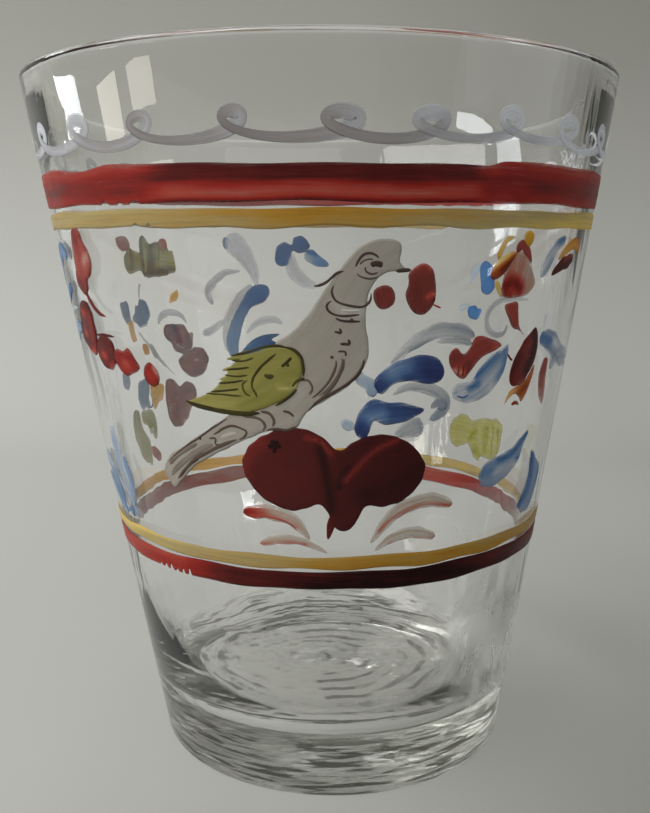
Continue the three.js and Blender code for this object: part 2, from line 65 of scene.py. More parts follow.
print("the packed part has", len(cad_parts), "nodes and is", round(cad_high.z / MM, 1),
      "mm high")

# %% [markdown]
# ## The shape of the wall
#
# Everything painted has to lie on the glass, so the wall is written as a rule first: a straight
# cone that leans a little, because the glass was worked by hand. Heights and sizes are in
# millimetres, and angles run round the glass in degrees, with 0 at the front, under the bird.
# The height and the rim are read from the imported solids, so that they can't disagree.

# %% The wall as a rule
HEIGHT = cad_high.z / MM
RIM_RADIUS = (cad_high.x - cad_low.x) / 2 / MM
BASE_RADIUS = 25.0
BASE_SHIFT = 1.9
LIP_ROUNDING = 0.6
FOOT_ROUNDING = 1.2
FLOOR_HEIGHT = 7.6
LIP_HEIGHT = HEIGHT - LIP_ROUNDING


def wall_radius(height):
    """Outer radius of the glass at a height."""
    return BASE_RADIUS + (RIM_RADIUS - BASE_RADIUS) * height / LIP_HEIGHT


def centre_shift(height):
    """Sideways place of the glass's centre at a height."""
    return BASE_SHIFT * (1 - height / HEIGHT)


def on_wall(angle, height, stand_off):
    """Points in metres that stand off the outer wall, from arrays of degrees and millimetres."""
    turned = np.radians(angle)
    radius = wall_radius(height) + stand_off
    x = radius * np.sin(turned) + centre_shift(height)
    y = -radius * np.cos(turned)
    return np.stack([x, y, height + 0 * x], axis=-1) * MM


print("the wall runs from", BASE_RADIUS, "to", round(RIM_RADIUS, 2), "mm radius")

# %% [markdown]
# ## The camera
#
# The photograph was taken from very near, with the lens level with the upper red band. A near
# camera makes the foot look small and shows the far rim above the near one, so its distance
# matters more than its focal length. It stands 138 mm from the glass's centre line.

# %% The camera at the photograph's place
CAMERA_X = 0.75
CAMERA_DISTANCE = 138.2
CAMERA_HEIGHT = 71.2
CAMERA_PITCH = 9.77
SENSOR = 36.0
LENS = 42.15

camera_data = bpy.data.cameras.new("camera")
camera_data.sensor_width = SENSOR
camera_data.lens = LENS
camera_data.clip_start = 1 * MM
camera = bpy.data.objects.new("camera", camera_data)
camera.location = (CAMERA_X * MM, -CAMERA_DISTANCE * MM, CAMERA_HEIGHT * MM)
camera.rotation_euler = (math.radians(90 - CAMERA_PITCH), 0, 0)
bpy.context.scene.collection.objects.link(camera)
bpy.context.scene.camera = camera
print("the camera looks", CAMERA_PITCH, "degrees down from", CAMERA_HEIGHT, "mm")

# %% [markdown]
# ## Building meshes and materials
#
# Every piece is built from arrays of points and faces, with a UV map whose unit is a millimetre
# along and across the brush, and two numbers: tone says how much of the second pigment the
# brush carried there, and load how much paint it left. The materials read all of them, so
# streaks follow each stroke.

# %% A mesh from points and faces
scene = bpy.context.scene
scene.view_settings.view_transform = "Standard"


def add_mesh(name, points, faces, uv=None, tone=None, load=None):
    """Makes an object at the origin, with its place in its mesh."""
    mesh = bpy.data.meshes.new(name)
    mesh.from_pydata([tuple(p) for p in points], [], [tuple(f) for f in faces])
    mesh.validate()
    if uv is not None:
        layer = mesh.uv_layers.new(name="brush")
        corners = np.zeros(len(mesh.loops), int)
        mesh.loops.foreach_get("vertex_index", corners)
        layer.data.foreach_set("uv", np.asarray(uv, float)[corners].ravel())
    for title, values in (("tone", tone), ("load", load)):
        if values is not None:
            attribute = mesh.attributes.new(title, "FLOAT", "POINT")
            attribute.data.foreach_set("value", np.asarray(values, np.float32))
    mesh.shade_smooth()
    made = bpy.data.objects.new(name, mesh)
    scene.collection.objects.link(made)
    return made


def srgb(red, green, blue):
    """A colour seen as 0 to 255, as the linear value that a shader takes."""
    shares = [value / 255 for value in (red, green, blue)]
    linear = [s / 12.92 if s <= 0.04045 else ((s + 0.055) / 1.055) ** 2.4 for s in shares]
    return (*linear, 1.0)


# %% Small helpers for node trees
def feed(tree, given, socket):
    """Links an output to a socket, or sets the socket to a plain value."""
    if isinstance(given, bpy.types.NodeSocket):
        tree.links.new(given, socket)
    else:
        socket.default_value = given


def add_node(tree, kind, **settings):
    """Adds a node. Settings are its properties, or what its inputs of that name are fed."""
    node = tree.nodes.new(kind)
    for key, given in settings.items():
        if hasattr(node, key):
            setattr(node, key, given)
        else:
            feed(tree, given, node.inputs[key.replace("_", " ")])
    return node


def calc(tree, operation, *values, clamp=False):
    """One step of a formula."""
    node = add_node(tree, "ShaderNodeMath", operation=operation, use_clamp=clamp)
    for given, socket in zip(values, node.inputs):
        feed(tree, given, socket)
    return node.outputs[0]


def between(tree, value, low, high, start=0, end=1):
    """A value that runs from start to end while the given one runs from low to high."""
    return add_node(tree, "ShaderNodeMapRange", Value=value, From_Min=low, From_Max=high,
                    To_Min=start, To_Max=end).outputs["Result"]


def noise(tree, vector, scale, detail, distortion=0):
    """Smooth noise with its own scale along each axis."""
    mapping = add_node(tree, "ShaderNodeMapping", Vector=vector, Scale=scale)
    return add_node(tree, "ShaderNodeTexNoise", Vector=mapping.outputs["Vector"], Scale=1,
                    Detail=detail, Distortion=distortion).outputs["Fac"]


def bump(tree, height, strength, distance):
    """A normal that leans with a height, as relief would make it."""
    return add_node(tree, "ShaderNodeBump", Height=height, Strength=strength,
                    Distance=distance).outputs["Normal"]


def mix_colours(tree, factor, first, second):
    """Mixes two colours, each a value or an output, by an output or a number."""
    node = add_node(tree, "ShaderNodeMix", data_type="RGBA")
    colours = [socket for socket in node.inputs if socket.type == "RGBA"]
    for given, socket in zip((factor, first, second), [node.inputs["Factor"]] + colours):
        feed(tree, given, socket)
    return next(socket for socket in node.outputs if socket.type == "RGBA")


def object_place(tree):
    """A point's place on the object, whole and as X, Y and Z."""
    place = add_node(tree, "ShaderNodeTexCoord").outputs["Object"]
    return place, add_node(tree, "ShaderNodeSeparateXYZ", Vector=place).outputs


def new_material(name, **settings):
    """A material with its tree and its shader, whose own sockets take the settings."""
    material = bpy.data.materials.new(name)
    material.use_nodes = True
    shader = material.node_tree.nodes["Principled BSDF"]
    for key, value in settings.items():
        shader.inputs[key.replace("_", " ")].default_value = value
    return material, material.node_tree, shader


def new_group(name, inputs, outputs):
    """A shader group, from its inputs with their defaults, and the names of its outputs."""
    group = bpy.data.node_groups.new(name, "ShaderNodeTree")
    for title, default in inputs.items():
        kind = "NodeSocketFloat" if isinstance(default, float) else "NodeSocketVector"
        socket = group.interface.new_socket(name=title, in_out="INPUT", socket_type=kind)
        socket.default_value = default
    for title in outputs:
        group.interface.new_socket(name=title, in_out="OUTPUT", socket_type="NodeSocketFloat")
    return group, group.nodes.new("NodeGroupInput"), group.nodes.new("NodeGroupOutput")


print("helpers are ready")

# %% [markdown]
# ## The floor, the backdrop and the light
#
# The glass stands on pale paper that rises into a plain backdrop. One sheet with a wide bend gives
# both. Its colour is painted darker and warmer with height, painted shade for the dimmer wall
# behind. It is painted greyer to the right and near the front, painted shadow of the glass and of
# the light falling off. The paper is also what the clear glass shows, so it keeps its own colour
# for every kind of ray. Soft lamps stand for windows: a very broad one high on the left gives most
# of the light, and a broad one overhead stands for the pale ceiling. They are large and dim,
# because glass shows a small bright lamp as a hard white bar. Three small panes, low down, do just
# that, and show as the pale patches near the rim. A window at the left end and a pale wall on the
# right are seen mostly through the thick base, which throws their light about. The world adds a
# dim, even fill.

# %% The paper sweep
FLOOR_FRONT = -420.0
FLOOR_BACK = 330.0
SWEEP_RADIUS = 160.0
SWEEP_TOP = 900.0
SWEEP_HALF_WIDTH = 900.0


def sweep_profile():
    """Points (y, z) from the front of the floor, round the bend, up the backdrop."""
    centre_y = FLOOR_BACK - SWEEP_RADIUS
    points = [(FLOOR_FRONT, 0.0)]
    for i in range(17):
        turned = math.radians(90 * i / 16)
        points.append((
            centre_y + SWEEP_RADIUS * math.sin(turned),
            SWEEP_RADIUS * (1 - math.cos(turned)),
        ))
    return points + [(FLOOR_BACK, SWEEP_TOP)]


profile = sweep_profile()
sweep_points = [
    (side * SWEEP_HALF_WIDTH * MM, y * MM, z * MM) for y, z in profile for side in (-1, 1)
]
sweep_faces = [(2 * i, 2 * i + 1, 2 * i + 3, 2 * i + 2) for i in range(len(profile) - 1)]
sweep = add_mesh("paper_sweep", sweep_points, sweep_faces)


def paper_material():
    """Pale paper with painted shade: darker and warmer up the backdrop, greyer to the right and
    near the front.
    """
    material, tree, shader = new_material("paper", Roughness=0.9, Specular_IOR_Level=0.2)
    place, parts = object_place(tree)

    def span(axis, low, high, start=0, end=1):
        return between(tree, parts[axis], low * MM, high * MM, start, end)

    # Painted shade: the backdrop darkens and warms with height, for the dimmer wall behind.
    ramp = add_node(tree, "ShaderNodeValToRGB", Fac=span("Z", 10, 230))
    ramp.color_ramp.elements[0].color = srgb(180, 181, 178)
    ramp.color_ramp.elements[1].color = srgb(143, 143, 135)
    # Painted shadow: the paper greys towards the front and the right, where the glass shades it
    # and the light falls off.
    near = calc(tree, "MULTIPLY_ADD", span("Y", 30, -40), span("X", -40, 60, 0.08, 0.52),
                span("X", 10, 110, 0, 0.15))
    paper_painted_shade = mix_colours(tree, near, ramp.outputs["Color"], (0.01, 0.01, 0.005, 1))
    feed(tree, paper_painted_shade, shader.inputs["Base Color"])
    tooth = add_node(tree, "ShaderNodeTexNoise", Vector=place, Scale=900)
    feed(tree, bump(tree, tooth.outputs["Fac"], 0.15, 0.1 * MM), shader.inputs["Normal"])
    return material


sweep.data.materials.append(paper_material())

# %% The lamps and the world
def soft_lamp(name, angle, distance, height, width, tall, power, colour):
    """A rectangular lamp at an angle round the glass, turned to face it."""
    data = bpy.data.lights.new(name, "AREA")
    data.shape = "RECTANGLE"
    data.size = width * MM
    data.size_y = tall * MM
    data.energy = power
    data.color = colour
    lamp = bpy.data.objects.new(name, data)
    turned = math.radians(angle)
    lamp.location = (
        distance * MM * math.sin(turned), -distance * MM * math.cos(turned), height * MM,
    )
    fall = math.atan2(height - HEIGHT / 2, distance)
    lamp.rotation_euler = (math.pi / 2 - fall, 0, turned)
    scene.collection.objects.link(lamp)


soft_lamp("sky_window", -62, 820, 792, 1000, 700, 11.9, (1, 0.985, 0.96))
soft_lamp("ceiling", 20, 620, 760, 900, 700, 2.2, (1, 0.99, 0.97))
soft_lamp("low_pane_left", -78, 330, 52, 54, 26, 0.024, (1, 0.94, 0.82))
soft_lamp("low_pane_right", -62.5, 330, 53, 64, 20, 0.019, (1, 0.94, 0.82))
soft_lamp("far_pane", 55, 330, 39, 84, 7, 0.018, (0.94, 0.98, 1))
soft_lamp("side_window", -107, 500, 225, 130, 130, 0.36, (0.93, 0.97, 1))
soft_lamp("right_wall", 74, 640, 170, 560, 420, 0.25, (1, 0.99, 0.97))
world = bpy.data.worlds.new("room")
scene.world = world
world.use_nodes = True
fill = world.node_tree.nodes["Background"]
fill.inputs["Color"].default_value = (1.0, 0.99, 0.965, 1)
fill.inputs["Strength"].default_value = 0.26
scene.cycles.max_bounces = 20
scene.cycles.transmission_bounces = 20
scene.cycles.transparent_max_bounces = 24
print("seven soft lamps and a fill of", round(fill.inputs["Strength"].default_value, 2))

# %% [markdown]
# ## The glass body
#
# A blown glass is a solid of revolution that went slightly wrong everywhere. The profile is
# turned in many fine steps, because clear glass shows every facet, and then each point is
# moved a few hundredths of a millimetre: slow waves in the wall, rings of tool marks in the
# heel, and rough rings where the pontil rod was broken off and the scar was ground hollow.

# %% The profile of the glass
WALL = 1.7
LIP_WALL = 2.8
LIP_DEPTH = 14.0
FLOOR_RADIUS = 18.5
HEEL_HEIGHT = 24.0
HEEL_FULLNESS = 1.0
PONTIL_RADIUS = 12.0
PONTIL_DEPTH = 1.6
GLASS_STEPS = 240
OUTER_WAVE, INNER_WAVE, CHILL_WAVE, FLOOR_WAVE = 0.035, 0.12, 0.04, 0.12
RING_HEIGHT, FLOOR_GRAIN, SCAR_GRAIN = 0.16, 0.02, 0.05
GRAIN_RIPPLES = 30
RIDGE_HEIGHT, RIDGE_WIDTH = 0.6, 0.9


def inner_radius(height):
    """Radius of the cavity above the heel."""
    towards_lip = np.clip((height - (HEIGHT - LIP_DEPTH)) / LIP_DEPTH, 0, 1)
    eased = towards_lip * towards_lip * (3 - 2 * towards_lip)
    return wall_radius(height) - WALL - (LIP_WALL - WALL) * eased


def bezier(start, pull, end, steps):
    """Points of a quadratic curve."""
    t = np.linspace(0, 1, steps)[:, None]
    start, pull, end = (np.array(p, float) for p in (start, pull, end))
    return (1 - t) ** 2 * start + 2 * t * (1 - t) * pull + t * t * end


def glass_profile():
    """Points (radius, height, zone) from under the base, up the outside and down the inside."""
    rows = []
    for r in np.linspace(0, PONTIL_RADIUS, 30)[1:]:
        rows.append((r, PONTIL_DEPTH * (1 - (r / PONTIL_RADIUS) ** 2) ** 2, 0))
    slope = math.atan2(RIM_RADIUS - BASE_RADIUS, LIP_HEIGHT)
    foot_centre = wall_radius(FOOT_ROUNDING) - FOOT_ROUNDING / math.cos(slope)
    for r in np.linspace(PONTIL_RADIUS, foot_centre, 30)[1:-1]:
        rows.append((r, 0.0, 1))
    for turned in np.linspace(-math.pi / 2, -slope, 14):
        rows.append((
            foot_centre + FOOT_ROUNDING * math.cos(turned),
            FOOT_ROUNDING * (1 + math.sin(turned)),
            2,
        ))
    worked = np.linspace(FOOT_ROUNDING + 0.5, HEEL_HEIGHT, 56)
    for height in [*worked, *np.linspace(HEEL_HEIGHT + 1.7, LIP_HEIGHT, 40)]:
        rows.append((wall_radius(height), height, 2))
    inner_edge = RIM_RADIUS - LIP_WALL + LIP_ROUNDING
    for centre, start in ((RIM_RADIUS - LIP_ROUNDING, 0), (inner_edge, math.pi / 2)):
        for turned in np.linspace(start, start + math.pi / 2, 8)[1:-1]:
            rows.append((
                centre + LIP_ROUNDING * math.cos(turned),
                LIP_HEIGHT + LIP_ROUNDING * math.sin(turned),
                3,
            ))
    for height in np.linspace(LIP_HEIGHT, HEEL_HEIGHT + 2, 40):
        rows.append((float(inner_radius(height)), height, 4))
    corner = inner_radius(FLOOR_HEIGHT) - HEEL_FULLNESS + WALL / 2
    heel = bezier(
        (inner_radius(HEEL_HEIGHT), HEEL_HEIGHT), (corner, FLOOR_HEIGHT),
        (FLOOR_RADIUS, FLOOR_HEIGHT), 30,
    )
    rows += [(r, height, 5) for r, height in heel]
    for r in np.linspace(FLOOR_RADIUS, 0, 60)[1:-1]:
        rows.append((r, FLOOR_HEIGHT, 5))
    return np.array(rows)


def waves(turned, along, seed, count=5):
    """A smooth sum of sine waves round and along the glass, about one unit high."""
    draw = random.Random(seed)
    total = 0 * turned
    for _ in range(count):
        around = draw.randint(1, 7)
        pitch = draw.uniform(-0.16, 0.16)
        phase = draw.uniform(0, 2 * math.pi)
        total = total + np.sin(around * turned + pitch * along + phase)
    return total / count


def grain(x, y, seed, finest):
    """Even roughness over a plane, about one unit high: many ripples that cross each other."""
    draw = random.Random(seed)
    total = 0 * x
    for _ in range(GRAIN_RIPPLES):
        turned = draw.uniform(0, 2 * math.pi)
        pitch = 2 * math.pi / draw.uniform(finest, 4 * finest)
        total = total + np.sin(pitch * (x * math.cos(turned) + y * math.sin(turned))
                               + draw.uniform(0, 2 * math.pi))
    return total / math.sqrt(GRAIN_RIPPLES)


def make_glass():
    """Turns the profile, works the waves in and closes it at both poles."""
    rows = glass_profile()
    turned = np.linspace(0, 2 * math.pi, GLASS_STEPS, endpoint=False)
    angle, radius = np.meshgrid(turned, rows[:, 0])
    height = np.meshgrid(turned, rows[:, 1])[1]
    zone = np.meshgrid(turned, rows[:, 2])[1]
    below_lip = np.clip((LIP_HEIGHT - height) / 20, 0, 1)
    heel = zone == 5
    radius = radius + OUTER_WAVE * (zone == 2) * below_lip * (waves(angle, height, 3) - 1)
    radius = radius + INNER_WAVE * (zone == 4) * below_lip * waves(angle, height, 5)
    chill = (zone == 2) * np.clip((10 - height) / 6, 0.12, 1) * (height < HEEL_HEIGHT)
    radius = radius + CHILL_WAVE * chill * (waves(angle, 26 * height, 17, 7) - 1)
    flat_x, flat_y = radius * np.sin(angle), radius * np.cos(angle)
    near_axis = np.clip(radius / FLOOR_RADIUS, 0, 1)
    height = height + heel * near_axis * FLOOR_WAVE * waves(angle, 4 * radius, 7, 7)
    rings = np.sin(radius * 3.1 + 2.2 * waves(angle, radius, 19)) * waves(2 * angle, radius, 23)
    ringed = heel * np.clip((radius - 3) / 4, 0, 1) * np.clip((FLOOR_RADIUS - radius) / 3, 0, 1)
    floor_grain = FLOOR_GRAIN * grain(flat_x, flat_y, 37, 1.6)
    height = height + ringed * (RING_HEIGHT * rings + floor_grain)
    from_ridge = (radius - FLOOR_RADIUS + RIDGE_WIDTH) / RIDGE_WIDTH
    height = height + heel * RIDGE_HEIGHT * np.exp(-(from_ridge ** 2))
    broken = grain(flat_x, flat_y, 13, 2)
    height = height + (zone <= 1) * SCAR_GRAIN * (broken + 1)
    height = np.maximum(height, 0)
    x = radius * np.sin(angle) + centre_shift(height)
    y = -radius * np.cos(angle)
    points = (np.stack([x, y, height], -1) * MM).reshape(-1, 3)
    count = len(rows)
    faces = []
    for i in range(count - 1):
        for j in range(GLASS_STEPS):
            k = (j + 1) % GLASS_STEPS
            faces.append((
                i * GLASS_STEPS + j, i * GLASS_STEPS + k,
                (i + 1) * GLASS_STEPS + k, (i + 1) * GLASS_STEPS + j,
            ))
    scar_pole = len(points)
    floor_pole = scar_pole + 1
    last = (count - 1) * GLASS_STEPS
    for j in range(GLASS_STEPS):
        k = (j + 1) % GLASS_STEPS
        faces.append((scar_pole, k, j))
        faces.append((floor_pole, last + j, last + k))
    poles = [
        (centre_shift(0) * MM, 0, PONTIL_DEPTH * MM),
        (centre_shift(FLOOR_HEIGHT) * MM, 0, FLOOR_HEIGHT * MM),
    ]
    outside = np.append((zone == 2).ravel(), [0, 0])
    return add_mesh("glass", np.vstack([points, poles]), faces, tone=outside)


glass = make_glass()
print("the glass has", len(glass.data.polygons), "faces")

# %% [markdown]
# ## The finish of the glass
#
# Old glass isn't quite clear: iron gives the thick base a grey-green cast, which grows with
# depth, so it is a volume that absorbs a little light and the surface stays white. A fine
# ripple bends what is seen through the wall. Lamps have to reach the enamel on the far side,
# so the surface lets shadow and diffuse rays straight through, with some light held back at
# grazing angles, which is what leaves the soft shadow on the paper.

# %% Painted shade streaks in the glass, and its scuffs
def painted_shade_streaks(tree, place, parts):
    """Painted shade: darker level streaks low on the outer foot and broken darker rings on the
    floor, and the scuffs.
    """

    def span(axis, low, high):
        return between(tree, parts[axis], low * MM, high * MM)

    def clouds(scale, low, high, start, end):
        return between(tree, noise(tree, place, scale, 4, 0.6), low, high, start, end)

    def times(first, *others):
        for other in others:
            first = calc(tree, "MULTIPLY", first, other)
        return first

    outside = add_node(tree, "ShaderNodeAttribute", attribute_name="tone").outputs["Fac"]
    level = times(clouds((140, 140, 1600), 0.5, 0.56, 0.14, 1), outside, span("Z", 11, 8))
    ring = add_node(tree, "ShaderNodeTexWave", wave_type="RINGS", rings_direction="Z",
                    Vector=place, Scale=110, Distortion=3, Detail=1, Detail_Scale=1.5)
    broken = times(between(tree, ring.outputs["Fac"], 0.6, 0.86, 0.06, 0.9),
                   clouds((110, 110, 110), 0.47, 0.56, 0, 1))
    on_floor = times(span("Z", FLOOR_HEIGHT - 1.5, FLOOR_HEIGHT - 1),
                     span("Z", FLOOR_HEIGHT + 1.5, FLOOR_HEIGHT + 1))
    # The streaks and rings are painted shade: they darken the glass's colour where the worked base
    # looks dark.
    darker = calc(tree, "MAXIMUM", level, times(broken, on_floor))
    scuffed = times(span("X", 15, 20), span("Z", 8, 12), span("Z", 27, 22),
                    clouds((190, 190, 60), 0.4, 0.55, 0.02, 0.5))
    return mix_colours(tree, darker, (1, 1, 1, 1), (0.06, 0.06, 0.05, 1)), scuffed


# %% The glass material
GLASS_IOR = 1.5
RIPPLE_HEIGHT = 0.12
WORKED_RIPPLE = 0.8
GROUND_ROUGHNESS = 0.22
ABSORPTION = 8


def glass_material():
    """Clear glass: rippled, ground under the foot, scuffed on the right, darkened by painted shade
    streaks in the base, tinted by its depth.
    """
    material, tree, shader = new_material("clear_glass", Base_Color=(1, 1, 1, 1),
                                          Transmission_Weight=1, IOR=GLASS_IOR)
    place, parts = object_place(tree)
    even = RIPPLE_HEIGHT * MM
    low = between(tree, parts["Z"], 30 * MM, 20 * MM, even, WORKED_RIPPLE * MM)
    worked = between(tree, parts["X"], 14 * MM, 22 * MM, even, low)
    ripple = bump(tree, noise(tree, place, (70, 70, 22), 3, 0.8), 1, worked)
    feed(tree, ripple, shader.inputs["Normal"])
    ground = between(tree, parts["Z"], 2.2 * MM, 0.1 * MM, 0, GROUND_ROUGHNESS)
    streak_shade_colour, scuffed = painted_shade_streaks(tree, place, parts)
    feed(tree, calc(tree, "MAXIMUM", ground, scuffed), shader.inputs["Roughness"])
    # The glass's colour carries the painted shade streaks.
    feed(tree, streak_shade_colour, shader.inputs["Base Color"])

    path = add_node(tree, "ShaderNodeLightPath").outputs
    passing = calc(tree, "MAXIMUM", path["Is Shadow Ray"], path["Is Diffuse Ray"])
    rim = add_node(tree, "ShaderNodeLayerWeight", Blend=0.1).outputs["Facing"]
    wall = mix_colours(tree, rim, (0.92, 0.92, 0.9, 1), (0.04, 0.04, 0.03, 1))
    above = between(tree, parts["Z"], HEEL_HEIGHT * MM, 1.6 * HEEL_HEIGHT * MM)
    shade = mix_colours(tree, above, (0.985, 0.985, 0.98, 1), wall)
    clear = add_node(tree, "ShaderNodeBsdfTransparent", Color=shade)
    blend = add_node(tree, "ShaderNodeMixShader", Fac=passing)
    depth = add_node(tree, "ShaderNodeVolumeAbsorption", Color=(0.6, 0.66, 0.52, 1),
                     Density=ABSORPTION)
    output = tree.nodes["Material Output"]
    feed(tree, shader.outputs[0], blend.inputs[1])
    feed(tree, clear.outputs[0], blend.inputs[2])
    feed(tree, blend.outputs[0], output.inputs["Surface"])
    feed(tree, depth.outputs[0], output.inputs["Volume"])
    return material


glass.data.materials.append(glass_material())
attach(glass, "root")
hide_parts("glass_body")
print("the glass replaces its packed solid")

# %% [markdown]
# ## Painting on the wall
#
# The painter used glass enamel: coloured glass ground to a powder, stirred into an oil and laid
# on with a soft brush, then melted on in the kiln. It stands a little proud, with a rounded edge
# and ridges left by the hairs. Each lay is a thin closed pad here, not a drawing on the glass,
# so it catches the light, shows its edge, and is seen from behind through the clear wall.
# A lay is drawn flat first, in millimetres along and up the unrolled wall. Its points are an
# angle and a row of the frieze, the painted zone between the bands.

# %% Smooth lines through a few points
FRIEZE_FOOT = 35.0
ROW = 1.0


def to_flat(points, middle):
    """Angles and rows, as millimetres along and up the wall, unrolled round a middle angle."""
    points = np.array(points, float)
    height = FRIEZE_FOOT + points[:, 1] * ROW
    return np.stack([np.radians(points[:, 0] - middle) * wall_radius(height), height], -1)


def smooth_line(points, spacing, closed=False):
    """A centripetal Catmull-Rom line through a few points, sampled evenly."""
    points = np.array(points, float)
    if closed:
        given = np.vstack([points[-1:], points, points[:2]])
    else:
        given = np.vstack([2 * points[0] - points[1], points, 2 * points[-1] - points[-2]])
    fine = []
    for a, b, c, d in zip(given, given[1:], given[2:], given[3:]):
        t1 = math.sqrt(np.linalg.norm(b - a))
        t2 = t1 + math.sqrt(np.linalg.norm(c - b))
        t3 = t2 + math.sqrt(np.linalg.norm(d - c))
        t = np.linspace(t1, t2, 16, endpoint=False)[:, None]
        ab = ((t1 - t) * a + t * b) / t1
        bc = ((t2 - t) * b + (t - t1) * c) / (t2 - t1)
        cd = ((t3 - t) * c + (t - t2) * d) / (t3 - t2)
        abc = ((t2 - t) * ab + t * bc) / t2
        bcd = ((t3 - t) * bc + (t - t1) * cd) / (t3 - t1)
        fine.append(((t2 - t) * abc + (t - t1) * bcd) / (t2 - t1))
    fine = np.vstack(fine + [points[:1] if closed else points[-1:]])
    run = np.concatenate([[0], np.cumsum(np.linalg.norm(np.diff(fine, axis=0), axis=1))])
    count = max(4, round(run[-1] / spacing))
    at = np.linspace(0, run[-1], count + 1)
    even = np.stack([np.interp(at, run, fine[:, k]) for k in (0, 1)], -1)
    return even[:-1] if closed else even


def nearest_on(points, line, closed=False):
    """For each point, its distance to a line, how far along that is, and the side it lies on."""
    starts = line if closed else line[:-1]
    along = (np.roll(line, -1, axis=0) if closed else line[1:]) - starts
    length = np.maximum(np.linalg.norm(along, axis=1), 1e-9)
    away = points[:, None] - starts
    share = np.clip((away * along).sum(-1) / length ** 2, 0, 1)
    gap = away - share[..., None] * along
    distance = np.linalg.norm(gap, axis=-1)
    best = distance.argmin(1)
    rows = np.arange(len(points))
    run = np.concatenate([[0], np.cumsum(length)])
    travelled = run[best] + share[rows, best] * length[best]
    side = np.sign(along[best, 0] * gap[rows, best, 1] - along[best, 1] * gap[rows, best, 0])
    return distance[rows, best], travelled, side


def wobble(run, seed, pitch=1.6):
    """An uneven wave along a line, about one unit high, for the unsteadiness of a hand."""
    draw = random.Random(seed)
    total = 0 * run
    for _ in range(4):
        total = total + np.sin(run * draw.uniform(0.5, 1.8) * 2 * math.pi / pitch / 2
                               + draw.uniform(0, 6.3))
    return total / 2.4


print("a line through 3 points has", len(smooth_line([(0, 0), (3, 1), (6, 0)], 0.3)), "samples")

# %% [markdown]
# ## Marks
#
# Three kinds of mark cover the whole painting. A patch is an outline filled with a loaded
# brush. A stroke is one pull of a round brush: it swells near its start and is drawn out to a
# tip. A line is a thin, even pull of a pointed brush. Each mark has a tone at its start and
# its end, which the material turns into pigment, and soft touches where a second colour was
# worked in while the first was wet. It also has a load, the share of paint left on the glass:
# full in the middle, thin at the edges, and less towards the end as the brush runs dry.

# %% Marks as data
PATCH_THICKNESS = 0.1
STROKE_THICKNESS = 0.08
LINE_THICKNESS = 0.045
LAY_RISE = 0.09
SINK = 0.04
EDGE_WIDTH = 0.22
THIN_EDGE = 0.5
STROKE_SWELL = 0.7
STROKE_DRYING = 0.5
STROKE_MAKE = {"spacing": 0.3, "columns": 11, "unsteady": 0.09}
LINE_MAKE = {"spacing": 0.2, "columns": 5, "unsteady": 0.12}
NET_SPACING = 0.45
OUTLINE_SPACING = 0.3
OUTLINE_WOBBLE = 0.05
TOUCH_SPACING = 0.5


def new_mark(kind, points, thick, tone, end, side, soft, lay, **others):
    """A mark as data. It keeps its tone to its end where no other is given."""
    return {"kind": kind, "points": points, "thick": thick, "tone": tone,
            "end": tone if end is None else end, "side": side, "soft": soft, "lay": lay, **others}


def patch(outline, tone, end=None, side=0.0, flow=None, soft=(), lay=0):
    return new_mark("patch", outline, PATCH_THICKNESS, tone, end, side, soft, lay, flow=flow)


def stroke(spine, width, tone, end=None, side=0.0, soft=(), lay=0):
    return new_mark("stroke", spine, STROKE_THICKNESS, tone, end, side, soft, lay, width=width,
                    dry=STROKE_DRYING)


def line(spine, width, tone, lay=1):
    return new_mark("line", spine, LINE_THICKNESS, tone, None, 0.0, (), lay, width=width,
                    dry=0.0)


def tone_of(mark, flat, along, across, middle):
    """The tone at flat points: along and across are shares of the mark's length and half width."""
    tone = mark["tone"] + (mark["end"] - mark["tone"]) * along + mark["side"] * across
    for touch, radius, touched in mark["soft"]:
        spine = smooth_line(to_flat(touch, middle), TOUCH_SPACING)
        distance = nearest_on(flat, spine)[0]
        tone = tone + (touched - tone) * np.exp(-(distance / radius) ** 2)
    return np.clip(tone, 0, 1)


